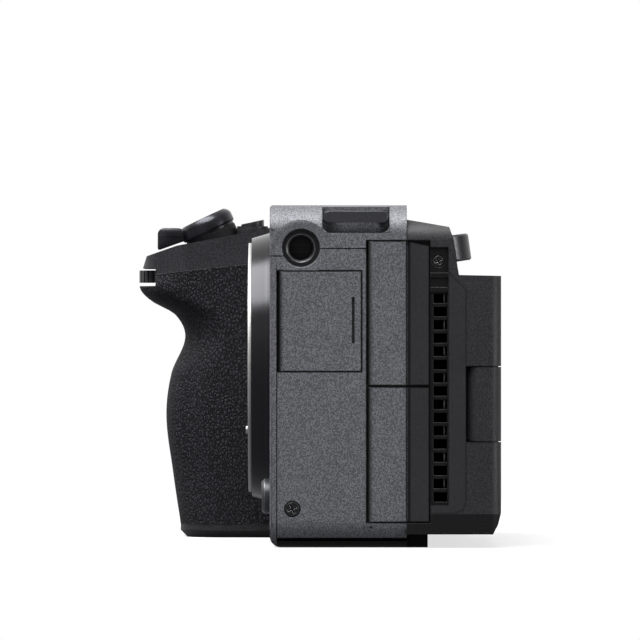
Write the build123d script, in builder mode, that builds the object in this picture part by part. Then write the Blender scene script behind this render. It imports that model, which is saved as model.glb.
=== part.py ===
"""Cinema camera: a box-bodied camera with a hand grip, an open lens mount and a side-hinged screen.

Frame: X runs to the camera's port side, the lens looks along -Y, Z is up. The origin is the mouth of the
tripod socket, straight below the lens axis. All sizes are in millimetres.
"""

from math import cos, radians, sin
import os

from build123d import *

os.makedirs("parts", exist_ok=True)

# Overall body
LEFT = 46.0
GRIP_END = -83.7
BLOCK_RIGHT = -37.0
HEIGHT = 77.8
GRIP_STEP = 3.3
GRIP_HEIGHT = HEIGHT - GRIP_STEP
BLOCK_FRONT = -11.4
BLOCK_BACK = 19.7
BACK = 33.0
WING_BACK = 41.1
WALL = 1.6
CLEAR = 0.3
RUN = 0.05
TOP_LEFT_RADIUS = 7.0
LOW_LEFT_RADIUS = 6.5
FRONT_LOW_RADIUS = 2.7
FRONT_EDGE = 0.8
BASE_SEAM = 1.54
COVER_DEPTH = 11.6
COVER_SEAM = HEIGHT - COVER_DEPTH
SEAM_STEP = 1.7
CHIN_BOTTOM = 3.1
CASE_CORNER = 7.0

# Lens mount
LENS_Z = 40.7
FLANGE_PROUD = 0.75
COLLAR_DEPTH = 4.4
COLLAR_RADIUS = 30.0
COLLAR_FLARE = 31.3
RING_RADIUS = 28.9
RING_THICKNESS = 1.5
THROAT_RADIUS = 23.05
SLEEVE_RADIUS = 24.6
SLEEVE_WALL = 0.7
CLAW_DEPTH = 2.4
CLAW_NOTCH = 24.0
MOUNT_SCREWS = 4
FLANGE_TO_SENSOR = 18.0
LOCK_PIN_X = 21.8
LOCK_PIN_Z = 26.5
LOCK_PIN_RADIUS = 0.92
RELEASE_X = 24.9
RELEASE_Z = 11.3
RELEASE_RADIUS = 4.0
RELEASE_PROUD = 1.95

# Hand grip
GRIP_INNER = -38.5
GRIP_PALM_RADIUS = 14.0
GRIP_FINGER_RADIUS = 11.0
SKIN = 1.0
SKIN_BACK = -6.0
GRIP_FOOT = 3.1
NOSE_REACH = 42.2
SEAM_FALL = 3.9
SEAM_NOSE_Z = COVER_SEAM - SEAM_FALL
DIAL_RADIUS = 7.9
DIAL_THICKNESS = 2.95
DIAL_REACH = 43.4
DIAL_SLOT_HEIGHT = 4.2
DIAL_SLOT_LOW = SEAM_NOSE_Z - 2.5
DIAL_SLOT_HIGH = DIAL_SLOT_LOW + DIAL_SLOT_HEIGHT
DIAL_Z = SEAM_NOSE_Z - 0.18

# Shutter unit
SHUTTER_Y = -28.1
SHUTTER_RISE = 1.65
SHUTTER_Z = GRIP_HEIGHT + SHUTTER_RISE
SHUTTER_TILT = 25.6
ZOOM_RADIUS = 6.3
ZOOM_RIM = 2.9
ZOOM_GAP = 1.3
SHUTTER_BUTTON_RADIUS = 4.3

# Threads and straps
THREAD_RADIUS = 3.175
INSERT_RADIUS = 4.2
INSERT_DEPTH = 6.0
SIDE_THREAD_Y = -4.33
SIDE_THREAD_DROP = 9.8
SIDE_THREAD_Z = HEIGHT - SIDE_THREAD_DROP
PAD_RADIUS = 6.05
STRAP_Y = 8.14
STRAP_LENGTH = 15.2
STRAP_RECESS = 6.3
STRAP_FLOOR = HEIGHT - STRAP_RECESS
STRAP_BAR_RISE = 3.65
STRAP_BAR_Z = STRAP_FLOOR + STRAP_BAR_RISE
STRAP_BAR_HEIGHT = 2.65

# Port side doors
DOOR_WALL = 1.6
HINGE_RADIUS = 0.8
PIN_RADIUS = 0.5
MIC_DOOR_HEIGHT = 22.55
MIC_DOOR_DROP = 3.5
MIC_DOOR = (-9.5, 9.3, COVER_SEAM - MIC_DOOR_DROP - MIC_DOOR_HEIGHT, COVER_SEAM - MIC_DOOR_DROP)
HDMI_DOOR_RISE = 3.3
HDMI_DOOR = (10.75, 24.7, 37.0, COVER_SEAM + HDMI_DOOR_RISE)
USB_DOOR = (10.75, 24.7, 6.0, 36.4)
DOOR_GROOVE_Y = 19.95
BAY_DEPTH = 8.0
DOOR_STOP = 1.2
DOOR_X = LEFT - HINGE_RADIUS
PIN_LENGTH = 1.4

# Vent
VENT_FRONT = 25.0
VENT_BACK = 29.1
VENT_LOW = 9.8
VENT_HIGH = COVER_SEAM + 2.0
VENT_BAR_PITCH = 3.0
VENT_BAR = 0.8
VENT_BARS = 15
PLATE_BACK = 33.1
PLATE_LOW = 7.9
PLATE_HIGH = VENT_HIGH - 5.6

# Screen and its hinge
SWING_X = 42.2
SWING_Y = 36.6
WING_RADIUS = 4.5
BLOCK_RADIUS = 3.8
BLOCK_LOW = 24.2
BLOCK_HIGH = 41.05
SCREEN_RIGHT = -33.0
SCREEN_LOW = 6.6
SHOULDER_DROP = 12.8
SHOULDER_Z = GRIP_HEIGHT - SHOULDER_DROP
SCREEN_GAP = 0.7
SCREEN_HIGH = SHOULDER_Z - SCREEN_GAP
SCREEN_BACK = 33.5
SCREEN_FACE = 40.8

# Back controls
CONTROL_BACK = 36.0
CONTROL_LEFT = -34.3
DIAL_BACK_REACH = 36.0
DIAL_BACK_RADIUS = 7.0
DIAL_BACK_THICKNESS = 6.4
DIAL_BACK_X = -57.5
DIAL_BACK_DROP = 6.1
DIAL_BACK_Z = GRIP_HEIGHT - DIAL_BACK_DROP
DIAL_BACK_TILT = 8.0
WHEEL_X = -58.0
WHEEL_Z = 34.0
WHEEL_RADIUS = 9.5
WHEEL_BORE = 5.25
WHEEL_BUTTON_RADIUS = 4.3
JOYSTICK_X = -55.0
JOYSTICK_Z = SHOULDER_Z - 6.7
BACK_BUTTON_RADIUS = 3.0
BACK_BUTTONS = {
    "menu_button": (-42.0, JOYSTICK_Z - 2.0),
    "playback_button": (-69.0, 15.5),
    "function_button": (-45.0, 15.5),
}
BUTTON_PROUD = 0.8
BUTTON_DEPTH = 2.7
BUTTON_TRAVEL = 0.6

# Top controls
TOP_BUTTON_RADIUS = 2.7
TOP_BUTTON_Y = -16.2
TOP_BUTTON_Z = GRIP_HEIGHT + 0.7
TOP_BUTTON_TILT = 12.0
TOP_BUTTONS = {"white_balance_button": -68.0, "iso_button": -58.5}
RECORD_X = -68.5
RECORD_Y = 5.0
RECORD_RADIUS = 4.4
POWER_X = -50.5
POWER_Y = 6.0
POWER_RADIUS = 6.0
POWER_HEIGHT = 2.4

# Inner pieces
BATTERY_X = (-81.0, -42.3)
BATTERY_Y = (-22.7, 0.0)
BATTERY_Z = (2.5, 54.2)
BAY_GAP = 0.2
BATTERY_DOOR_WALL = 1.8
CARD_DOOR = (1.0, 18.4, 10.0, 54.0)
CARD_BAY_DEPTH = 6.1
CARD_UNIT_DEPTH = 25.0
CHASSIS_HALF = 35.0
BOARD_Y = 6.5
BOARD_THICKNESS = 1.5
BOARD_LOW = 7.0
BOARD_HIGH = COVER_SEAM - 3.2
SINK_THICKNESS = 1.5
FIN_HEIGHT = 4.3
FAN_DEPTH = 9.0
FAN_X = 8.0
FAN_Z = 40.0
FAN_BLADES = 9
TRIPOD_RADIUS = 5.5

COLLAR_FRONT = BLOCK_FRONT - COLLAR_DEPTH
FLANGE_FRONT = COLLAR_FRONT - FLANGE_PROUD
SENSOR_Y = FLANGE_FRONT + FLANGE_TO_SENSOR
FRONT_INSIDE = BLOCK_FRONT + WALL
GRIP_MID = (GRIP_INNER + GRIP_END) / 2
SCREEN_LEFT = SWING_X - 5.0
LENS_AXIS = Axis((0, 0, LENS_Z), (0, 1, 0))

pieces = {}


def keep(name, builder):
    """Label a finished piece and put it on the list to be written."""
    builder.part.label = name
    pieces[name] = builder.part


def slab(x, y, z, mode=Mode.ADD):
    """A rectangular region between three pairs of limits."""
    with Locations(((x[0] + x[1]) / 2, (y[0] + y[1]) / 2, (z[0] + z[1]) / 2)):
        Box(x[1] - x[0], y[1] - y[0], z[1] - z[0], mode=mode)


def rod_x(x, y, z, radius, mode=Mode.ADD):
    """A round bar along X between two places."""
    with Locations(((x[0] + x[1]) / 2, y, z)):
        Cylinder(radius, x[1] - x[0], rotation=(0, 90, 0), mode=mode)


def rod_y(x, y, z, radius, mode=Mode.ADD):
    """A round bar along Y between two places."""
    with Locations((x, (y[0] + y[1]) / 2, z)):
        Cylinder(radius, y[1] - y[0], rotation=(90, 0, 0), mode=mode)


def rod_z(x, y, z, radius, mode=Mode.ADD):
    """A round bar along Z between two heights."""
    with Locations((x, y, (z[0] + z[1]) / 2)):
        Cylinder(radius, z[1] - z[0], mode=mode)


def lens_plane(y):
    """The plane square to the lens axis at a place along it, seen from the front."""
    return Plane((0, y, LENS_Z), x_dir=(1, 0, 0), z_dir=(0, -1, 0))


def side_slab(outline, x0, x1):
    """A flat piece cut to an outline of (Y, Z) points, between two places across the camera."""
    with BuildPart() as piece:
        with BuildSketch(Plane.YZ.offset(x0)):
            with BuildLine():
                Polyline(*outline, close=True)
            make_face()
        extrude(amount=x1 - x0)
    return piece.part


# Whole block behind the lens mount, before it is parted into its casings
with BuildPart() as block_form:
    with BuildSketch(Plane.XZ.offset(-BLOCK_FRONT)) as block_face:
        with BuildLine():
            Polyline((BLOCK_RIGHT, 0), (LEFT, 0), (LEFT, HEIGHT), (BLOCK_RIGHT, HEIGHT), close=True)
        make_face()
        left_corners = block_face.vertices().group_by(Axis.X)[-1].sort_by(Axis.Y)
        fillet(left_corners[-1], TOP_LEFT_RADIUS)
        fillet(block_face.vertices().group_by(Axis.Y)[0].sort_by(Axis.X)[-1], LOW_LEFT_RADIUS)
        fillet(block_face.vertices().group_by(Axis.Y)[-1].sort_by(Axis.X)[0], 3.0)
    extrude(amount=BLOCK_FRONT - BLOCK_BACK)
    with BuildSketch(Plane.YZ.offset(BLOCK_RIGHT)) as block_side:
        with BuildLine():
            Polyline(
                (BLOCK_FRONT, 0),
                (BLOCK_BACK, 0),
                (BLOCK_BACK, HEIGHT),
                (BLOCK_FRONT, HEIGHT),
                close=True,
            )
        make_face()
        fillet(block_side.vertices().group_by(Axis.X)[0].sort_by(Axis.Y)[0], FRONT_LOW_RADIUS)
        fillet(block_side.vertices().group_by(Axis.X)[0].sort_by(Axis.Y)[-1], FRONT_EDGE)
    extrude(amount=LEFT - BLOCK_RIGHT, mode=Mode.INTERSECT)
    with BuildSketch() as block_plan:
        with BuildLine():
            Polyline(
                (BLOCK_RIGHT, BLOCK_FRONT),
                (LEFT, BLOCK_FRONT),
                (LEFT, BLOCK_BACK),
                (BLOCK_RIGHT, BLOCK_BACK),
                close=True,
            )
        make_face()
        fillet(block_plan.vertices().group_by(Axis.Y)[0].sort_by(Axis.X)[-1], FRONT_EDGE)
    extrude(amount=HEIGHT, mode=Mode.INTERSECT)

with BuildPart() as block_hollow:
    with BuildSketch(Plane.XZ.offset(-FRONT_INSIDE)) as hollow_face:
        with BuildLine():
            Polyline(
                (BLOCK_RIGHT + WALL, BASE_SEAM),
                (LEFT - WALL, BASE_SEAM),
                (LEFT - WALL, HEIGHT - WALL),
                (BLOCK_RIGHT + WALL, HEIGHT - WALL),
                close=True,
            )
        make_face()
        fillet(hollow_face.vertices().group_by(Axis.Y)[-1].sort_by(Axis.X)[-1], TOP_LEFT_RADIUS - WALL)
    extrude(amount=FRONT_INSIDE - BLOCK_BACK + WALL)

# Front casing: the flat front and its wrap round the side
with BuildPart() as front_casing:
    add(block_form.part)
    slab((BLOCK_RIGHT - 1, LEFT + 1), (BLOCK_FRONT - 1, FRONT_INSIDE), (BASE_SEAM, COVER_SEAM),
         Mode.INTERSECT)
    rod_y(0, (BLOCK_FRONT - 1, FRONT_INSIDE + 1), LENS_Z, SLEEVE_RADIUS + 2.4, Mode.SUBTRACT)
    rod_y(RELEASE_X, (BLOCK_FRONT - 1, FRONT_INSIDE + 1), RELEASE_Z, RELEASE_RADIUS + CLEAR, Mode.SUBTRACT)
keep("front_casing", front_casing)

# Top cover: everything of the block above the cover seam, with its skirt round the mount collar
SHOE_WIDTH = 24.0
SHOE_Y = (-1.0, 18.2)
SHOE_DEPTH = 5.6
STRAP_DEPTH = 4.5
PAD_X = LEFT - 0.8
LAMP_X = -31.0
LAMP_Z = HEIGHT - 7.3
LAMP_RADIUS = 1.6
TOP_THREADS = ((31.0, -1.5), (-27.0, -1.5), (-27.0, 13.5))
STRAP_ENDS = (STRAP_Y - STRAP_LENGTH / 2, STRAP_Y + STRAP_LENGTH / 2)
with BuildPart() as strap_lining:
    slab((LEFT - STRAP_DEPTH - WALL, LEFT), (STRAP_ENDS[0] - WALL, STRAP_ENDS[1] + WALL),
         (STRAP_FLOOR - WALL, HEIGHT))
    add(block_form.part, mode=Mode.INTERSECT)

with BuildPart() as top_cover:
    add(block_form.part)
    add(block_hollow.part, mode=Mode.SUBTRACT)
    for thread_x, thread_y in TOP_THREADS:
        rod_z(thread_x, thread_y, (HEIGHT - INSERT_DEPTH - WALL, HEIGHT), INSERT_RADIUS + WALL)
    rod_x((PAD_X - INSERT_DEPTH - WALL, PAD_X), SIDE_THREAD_Y, SIDE_THREAD_Z, INSERT_RADIUS + WALL)
    slab((-SHOE_WIDTH / 2 - WALL, SHOE_WIDTH / 2 + WALL), (SHOE_Y[0] - WALL, BLOCK_BACK),
         (HEIGHT - SHOE_DEPTH - WALL, HEIGHT))
    add(strap_lining.part)
    slab((BLOCK_RIGHT, LEFT), (BLOCK_FRONT, BLOCK_BACK), (COVER_SEAM, HEIGHT), Mode.INTERSECT)
    slab((-SHOE_WIDTH / 2, SHOE_WIDTH / 2), (SHOE_Y[0], BLOCK_BACK), (HEIGHT - SHOE_DEPTH, HEIGHT),
         Mode.SUBTRACT)
    for thread_x, thread_y in TOP_THREADS:
        rod_z(thread_x, thread_y, (HEIGHT - INSERT_DEPTH, HEIGHT), INSERT_RADIUS, Mode.SUBTRACT)
    slab((LEFT - STRAP_DEPTH, LEFT), STRAP_ENDS, (STRAP_FLOOR, HEIGHT), Mode.SUBTRACT)
    rod_x((PAD_X, LEFT), SIDE_THREAD_Y, SIDE_THREAD_Z, PAD_RADIUS, Mode.SUBTRACT)
    rod_x((PAD_X - INSERT_DEPTH, LEFT), SIDE_THREAD_Y, SIDE_THREAD_Z, INSERT_RADIUS, Mode.SUBTRACT)
    rod_y(0, (BLOCK_FRONT, FRONT_INSIDE), LENS_Z, SLEEVE_RADIUS + 2.4, Mode.SUBTRACT)
    rod_y(LAMP_X, (BLOCK_FRONT, FRONT_INSIDE), LAMP_Z, LAMP_RADIUS + 0.1, Mode.SUBTRACT)
    slab((LEFT - WALL, LEFT), (SIDE_THREAD_Y, BLOCK_BACK), (COVER_SEAM, COVER_SEAM + SEAM_STEP),
         Mode.SUBTRACT)
    slab((LEFT - WALL, LEFT), (HDMI_DOOR[0] - CLEAR, BLOCK_BACK), (COVER_SEAM, HDMI_DOOR[3] + CLEAR),
         Mode.SUBTRACT)
    rod_z(DOOR_X, HDMI_DOOR[0] + HINGE_RADIUS, (HDMI_DOOR[3], HDMI_DOOR[3] + PIN_LENGTH), PIN_RADIUS + RUN,
          Mode.SUBTRACT)
keep("top_cover", top_cover)

# Left side panel: the wall behind the doors, with the trays that hold the sockets
PANEL_X = LEFT - WALL
GROOVE_Y = 9.63
TRAY_FLOOR = PANEL_X - BAY_DEPTH
MIC_TRAY = (MIC_DOOR[0] + 0.5, MIC_DOOR[1] - 0.4, MIC_DOOR[2] + 1.05, MIC_DOOR[3] - 1.1)
HDMI_TRAY = (GROOVE_Y + 0.4, BLOCK_BACK, HDMI_DOOR[2] + 1.6, HDMI_DOOR[3] - 4.1)
USB_TRAY = (GROOVE_Y + 0.4, BLOCK_BACK, 8.0, 34.8)
SIDE_SCREW_Y = -6.27
SIDE_SCREW_Z = 8.9
SCREW_HEAD = 1.75
SCREW_SHANK = 0.9
SCREW_SINK = 0.8


def door_pins(door, radius, mode=Mode.ADD):
    """Hinge pins of a port side door, or the bores for them; the two rear doors have one each, outside."""
    near, far, low, high = door
    if door is not HDMI_DOOR:
        rod_z(DOOR_X, near + HINGE_RADIUS, (low - PIN_LENGTH, low), radius, mode)
    if door is not USB_DOOR:
        rod_z(DOOR_X, near + HINGE_RADIUS, (high, high + PIN_LENGTH), radius, mode)


with BuildPart() as left_side_panel:
    slab((PANEL_X, LEFT), (FRONT_INSIDE, BLOCK_BACK), (BASE_SEAM, COVER_SEAM))
    slab((PANEL_X, LEFT), (SIDE_THREAD_Y, HDMI_DOOR[0]), (COVER_SEAM, COVER_SEAM + SEAM_STEP))
    add(block_form.part, mode=Mode.INTERSECT)
    for near, far, low, high in (MIC_TRAY, HDMI_TRAY, USB_TRAY):
        slab((TRAY_FLOOR, PANEL_X), (near, far), (low, high))
        slab((TRAY_FLOOR + WALL, LEFT), (near + WALL, far - WALL), (low + WALL, high - WALL), Mode.SUBTRACT)
    slab((PANEL_X - DOOR_STOP, PANEL_X), (FRONT_INSIDE, BLOCK_BACK), (USB_DOOR[2] - DOOR_STOP, COVER_SEAM))
    for near, far, low, high in (MIC_DOOR, HDMI_DOOR, USB_DOOR):
        slab((PANEL_X, LEFT), (near - CLEAR, min(far + CLEAR, BLOCK_BACK)), (low - CLEAR, high + CLEAR),
             Mode.SUBTRACT)
    for near, far, low, high in (MIC_TRAY, HDMI_TRAY, USB_TRAY):
        slab((TRAY_FLOOR + WALL, LEFT), (near + WALL, far - WALL), (low + WALL, high - WALL), Mode.SUBTRACT)
    for door in (MIC_DOOR, HDMI_DOOR, USB_DOOR):
        door_pins(door, PIN_RADIUS + RUN, Mode.SUBTRACT)
    rod_x((LEFT - SCREW_SINK, LEFT), SIDE_SCREW_Y, SIDE_SCREW_Z, SCREW_HEAD + 0.1, Mode.SUBTRACT)
    rod_x((PANEL_X - DOOR_STOP, LEFT), SIDE_SCREW_Y, SIDE_SCREW_Z, SCREW_SHANK + 0.1, Mode.SUBTRACT)
    rod_x((PAD_X, LEFT), SIDE_THREAD_Y, SIDE_THREAD_Z, PAD_RADIUS, Mode.SUBTRACT)
    rod_x((PAD_X - INSERT_DEPTH, LEFT), SIDE_THREAD_Y, SIDE_THREAD_Z, INSERT_RADIUS, Mode.SUBTRACT)
keep("left_side_panel", left_side_panel)

# Side doors: flat leaves that turn on pins at their front edge
MIC_TAB = (MIC_DOOR[1] - 1.5, MIC_DOOR[1], MIC_DOOR[2] + 6.35, MIC_DOOR[3] - 5.8)


def side_door(door, groove=False, sloped=False, tab=False):
    """A flush door of the port side, with its hinge barrel at the front edge."""
    near, far, low, high = door
    with BuildPart() as leaf:
        slab((LEFT - DOOR_WALL, LEFT), (near + HINGE_RADIUS, far), (low, high))
        rod_z(DOOR_X, near + HINGE_RADIUS, (low, high), HINGE_RADIUS)
        door_pins(door, PIN_RADIUS)
        if groove:
            slab((LEFT - DOOR_WALL / 2, LEFT), (DOOR_GROOVE_Y - 0.45, DOOR_GROOVE_Y + 0.45), (low, high),
                 Mode.SUBTRACT)
        if sloped:
            corner = ((DOOR_GROOVE_Y, high), (far, high - 1.0), (far, high), (DOOR_GROOVE_Y, high + 0.1))
            add(side_slab(corner, LEFT - DOOR_WALL, LEFT), mode=Mode.SUBTRACT)
        if tab:
            slab((LEFT - DOOR_WALL / 2, LEFT), (MIC_TAB[0] - 0.5, MIC_TAB[0]), (MIC_TAB[2], MIC_TAB[3]),
                 Mode.SUBTRACT)
    return leaf


microphone_door = side_door(MIC_DOOR, tab=True)
hdmi_door = side_door(HDMI_DOOR, groove=True, sloped=True)
usb_door = side_door(USB_DOOR, groove=True)
keep("microphone_door", microphone_door)
keep("hdmi_door", hdmi_door)
keep("usb_door", usb_door)

# Jacks and sockets on the tray floors
SOCKET_X = TRAY_FLOOR + WALL
JACK_RADIUS = 1.75
JACK_BARREL = 3.6
JACK_DEPTH = 5.0
JACK_Y = 0.0
JACKS_Z = (MIC_TRAY[2] + 5.9, MIC_TRAY[3] - 5.9)
with BuildPart() as audio_jacks:
    for jack_z in JACKS_Z:
        slab((SOCKET_X, SOCKET_X + 1.2), (JACK_Y - 5.4, JACK_Y + 5.4), (jack_z - 4.0, jack_z + 4.0))
        rod_x((SOCKET_X, SOCKET_X + JACK_DEPTH), JACK_Y, jack_z, JACK_BARREL)
        rod_x((SOCKET_X + 0.5, SOCKET_X + JACK_DEPTH), JACK_Y, jack_z, JACK_RADIUS, Mode.SUBTRACT)
keep("audio_jacks", audio_jacks)

SOCKET_Y = (HDMI_TRAY[0] + HDMI_TRAY[1]) / 2
SOCKETS = {
    HDMI_TRAY[2] + 7.4: (4.6, 9.4),
    HDMI_TRAY[3] - 7.5: (5.2, 10.6),
    USB_TRAY[2] + 7.2: (3.4, 9.2),
    USB_TRAY[3] - 7.6: (2.8, 8.0),
}
with BuildPart() as digital_sockets:
    for socket_z, (across, tall) in SOCKETS.items():
        slab((SOCKET_X, SOCKET_X + 4.6), (SOCKET_Y - across / 2 - 0.5, SOCKET_Y + across / 2 + 0.5),
             (socket_z - tall / 2 - 0.5, socket_z + tall / 2 + 0.5))
        slab((SOCKET_X + 0.6, SOCKET_X + 4.6), (SOCKET_Y - across / 2, SOCKET_Y + across / 2),
             (socket_z - tall / 2, socket_z + tall / 2), Mode.SUBTRACT)
        slab((SOCKET_X + 0.6, SOCKET_X + 3.6), (SOCKET_Y - 0.4, SOCKET_Y + 0.4),
             (socket_z - tall / 2 + 1.2, socket_z + tall / 2 - 1.2))
keep("digital_sockets", digital_sockets)

# Thread inserts: three in the top, one in each side
RIGHT_THREAD_Y = 9.0
RIGHT_THREAD_Z = COVER_SEAM - 5.6
THREAD_DEPTH = 5.0


def thread_insert(plane):
    """A blind threaded bush whose mouth lies on the plane and whose bore runs against its normal."""
    with BuildPart() as bush:
        with BuildSketch(plane):
            Circle(INSERT_RADIUS)
        extrude(amount=-INSERT_DEPTH)
        with BuildSketch(plane):
            Circle(THREAD_RADIUS)
        extrude(amount=-THREAD_DEPTH, mode=Mode.SUBTRACT)
    return bush.part


with BuildPart() as thread_inserts:
    for thread_x, thread_y in TOP_THREADS:
        add(thread_insert(Plane((thread_x, thread_y, HEIGHT), z_dir=(0, 0, 1))))
    add(thread_insert(Plane((PAD_X, SIDE_THREAD_Y, SIDE_THREAD_Z), z_dir=(1, 0, 0))))
    add(thread_insert(Plane((GRIP_END, RIGHT_THREAD_Y, RIGHT_THREAD_Z), z_dir=(-1, 0, 0))))
keep("thread_inserts", thread_inserts)

# Strap bars: a round-ended bar across each recess, on two legs to its inner wall
RIGHT_STRAP_Z = GRIP_HEIGHT - 3.5
RIGHT_STRAP_FLOOR = RIGHT_STRAP_Z - 3.4
STRAP_BAR = 1.8
STRAP_LEG = 2.0
STRAP_SINK = 0.6


def strap_bar(face, inward, z):
    """A bar level along Y whose legs run inward from it along X."""
    with BuildPart() as bar:
        with BuildSketch(Plane.YZ.offset(face)):
            with Locations((STRAP_Y, z)):
                SlotOverall(STRAP_LENGTH - 0.5, STRAP_BAR_HEIGHT)
        extrude(amount=inward * STRAP_BAR)
        for side in (-1, 1):
            y = STRAP_Y + side * (STRAP_LENGTH / 2 - 1.6)
            reach = sorted((face + inward * STRAP_BAR, face + inward * (STRAP_DEPTH - STRAP_SINK)))
            slab(reach, (y - STRAP_LEG / 2, y + STRAP_LEG / 2), (z - STRAP_LEG / 2, z + STRAP_LEG / 2))
    return bar.part


with BuildPart() as strap_bars:
    add(strap_bar(LEFT - STRAP_SINK, -1, STRAP_BAR_Z))
    add(strap_bar(GRIP_END + STRAP_SINK, 1, RIGHT_STRAP_Z))
keep("strap_bars", strap_bars)

# Accessory shoe: a sheet tray with two inward lips
SHOE_SLOT = 18.7
SHOE_GAP = 12.6
SHOE_LIP = 1.5
SHOE_RAIL_HEIGHT = 2.1
SHOE_BASE = 1.6
with BuildPart() as accessory_shoe:
    with BuildSketch(Plane.XZ.offset(-SHOE_Y[0])):
        with BuildLine():
            floor = HEIGHT - SHOE_DEPTH
            top = floor + SHOE_BASE + SHOE_RAIL_HEIGHT + SHOE_LIP
            Polyline(
                (-SHOE_WIDTH / 2, floor),
                (SHOE_WIDTH / 2, floor),
                (SHOE_WIDTH / 2, top),
                (SHOE_GAP / 2, top),
                (SHOE_GAP / 2, top - SHOE_LIP),
                (SHOE_SLOT / 2, top - SHOE_LIP),
                (SHOE_SLOT / 2, floor + SHOE_BASE),
                (-SHOE_SLOT / 2, floor + SHOE_BASE),
                (-SHOE_SLOT / 2, top - SHOE_LIP),
                (-SHOE_GAP / 2, top - SHOE_LIP),
                (-SHOE_GAP / 2, top),
                (-SHOE_WIDTH / 2, top),
                close=True,
            )
        make_face()
    extrude(amount=SHOE_Y[0] - SHOE_Y[1])
    slab((-SHOE_WIDTH / 2, SHOE_WIDTH / 2), (SHOE_Y[0], SHOE_Y[0] + 1.6), (floor, top - SHOE_LIP))
keep("accessory_shoe", accessory_shoe)

with BuildPart() as tally_lamp:
    rod_y(LAMP_X, (BLOCK_FRONT - 0.2, FRONT_INSIDE + 1.5), LAMP_Z, LAMP_RADIUS)
keep("tally_lamp", tally_lamp)

# Mount collar, its ring, lock pin and release
SEAT_Y = FLANGE_FRONT + RING_THICKNESS
SLEEVE_END = FRONT_INSIDE + 0.8
SCREW_CIRCLE = (SLEEVE_RADIUS + RING_RADIUS) / 2
MOUNT_HEAD = 1.65
MOUNT_SHANK = 0.8
SCREW_START = 20.0
with BuildPart() as mount_collar:
    with BuildSketch(Plane.XY.offset(LENS_Z)):
        with BuildLine():
            Polyline(
                (COLLAR_FLARE, BLOCK_FRONT),
                (SLEEVE_RADIUS + 2.35, BLOCK_FRONT),
                (SLEEVE_RADIUS + 2.35, FRONT_INSIDE),
                (SLEEVE_RADIUS + 0.1, FRONT_INSIDE),
                (SLEEVE_RADIUS + 0.1, SEAT_Y),
                (RING_RADIUS + 0.05, SEAT_Y),
                (RING_RADIUS + 0.05, COLLAR_FRONT),
                (COLLAR_RADIUS, COLLAR_FRONT),
                close=True,
            )
        make_face()
    revolve(axis=LENS_AXIS)
    with Locations(lens_plane(SEAT_Y)):
        with PolarLocations(SCREW_CIRCLE, MOUNT_SCREWS, start_angle=SCREW_START):
            Hole(MOUNT_SHANK + 0.1, depth=3.4)
    rod_y(LOCK_PIN_X, (SEAT_Y, FRONT_INSIDE), LOCK_PIN_Z, LOCK_PIN_RADIUS + 0.2, Mode.SUBTRACT)
keep("mount_collar", mount_collar)

with BuildPart() as mount_ring:
    with BuildSketch(Plane.XY.offset(LENS_Z)):
        with BuildLine():
            Polyline(
                (THROAT_RADIUS, FLANGE_FRONT),
                (RING_RADIUS, FLANGE_FRONT),
                (RING_RADIUS, SEAT_Y),
                (SLEEVE_RADIUS, SEAT_Y),
                (SLEEVE_RADIUS, SLEEVE_END),
                (SLEEVE_RADIUS - SLEEVE_WALL, SLEEVE_END),
                (SLEEVE_RADIUS - SLEEVE_WALL, FLANGE_FRONT + CLAW_DEPTH),
                (THROAT_RADIUS, FLANGE_FRONT + CLAW_DEPTH),
                close=True,
            )
        make_face()
    revolve(axis=LENS_AXIS)
    for turn in range(3):
        with BuildSketch(lens_plane(FLANGE_FRONT)):
            with BuildLine():
                start = 30 + 120 * turn - CLAW_NOTCH / 2
                outer = CenterArc((0, 0), SLEEVE_RADIUS - SLEEVE_WALL, start, CLAW_NOTCH)
                inner = CenterArc((0, 0), THROAT_RADIUS - 0.3, start, CLAW_NOTCH)
                Line(outer @ 0, inner @ 0)
                Line(outer @ 1, inner @ 1)
            make_face()
        extrude(amount=-CLAW_DEPTH, mode=Mode.SUBTRACT)
    with Locations(lens_plane(FLANGE_FRONT)):
        with PolarLocations(SCREW_CIRCLE, MOUNT_SCREWS, start_angle=SCREW_START):
            CounterBoreHole(MOUNT_SHANK + 0.1, MOUNT_HEAD + 0.1, SCREW_SINK, depth=RING_THICKNESS)
    rod_y(LOCK_PIN_X, (FLANGE_FRONT, SEAT_Y), LOCK_PIN_Z, LOCK_PIN_RADIUS + 0.2, Mode.SUBTRACT)
keep("mount_ring", mount_ring)

with BuildPart() as mount_screws:
    with Locations(lens_plane(FLANGE_FRONT + 0.1)):
        with PolarLocations(SCREW_CIRCLE, MOUNT_SCREWS, start_angle=SCREW_START):
            with Locations((0, 0, -0.35)):
                Cylinder(MOUNT_HEAD, 0.7)
            with Locations((0, 0, -0.7 - 1.9)):
                Cylinder(MOUNT_SHANK, 3.8)
keep("mount_screws", mount_screws)

PIN_BACK = FRONT_INSIDE + 3.6
with BuildPart() as lens_lock_pin:
    rod_y(LOCK_PIN_X, (FLANGE_FRONT - 0.45, PIN_BACK), LOCK_PIN_Z, LOCK_PIN_RADIUS)
keep("lens_lock_pin", lens_lock_pin)

with BuildPart() as lens_release_button:
    rod_y(RELEASE_X, (BLOCK_FRONT - RELEASE_PROUD, FRONT_INSIDE + 0.4), RELEASE_Z, RELEASE_RADIUS)
    rod_y(RELEASE_X, (FRONT_INSIDE + 0.4, FRONT_INSIDE + 1.4), RELEASE_Z, RELEASE_RADIUS + 1.0)
    chamfer(lens_release_button.edges().group_by(Axis.Y)[0], 0.6)
keep("lens_release_button", lens_release_button)

CONTACT_SPAN = 76.0
CONTACT_INNER = 19.6
CONTACT_OUTER = THROAT_RADIUS - 0.45
CONTACT_SEAT = SLEEVE_RADIUS - SLEEVE_WALL - 0.5
CONTACT_FRONT = FRONT_INSIDE - 3.2


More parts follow.
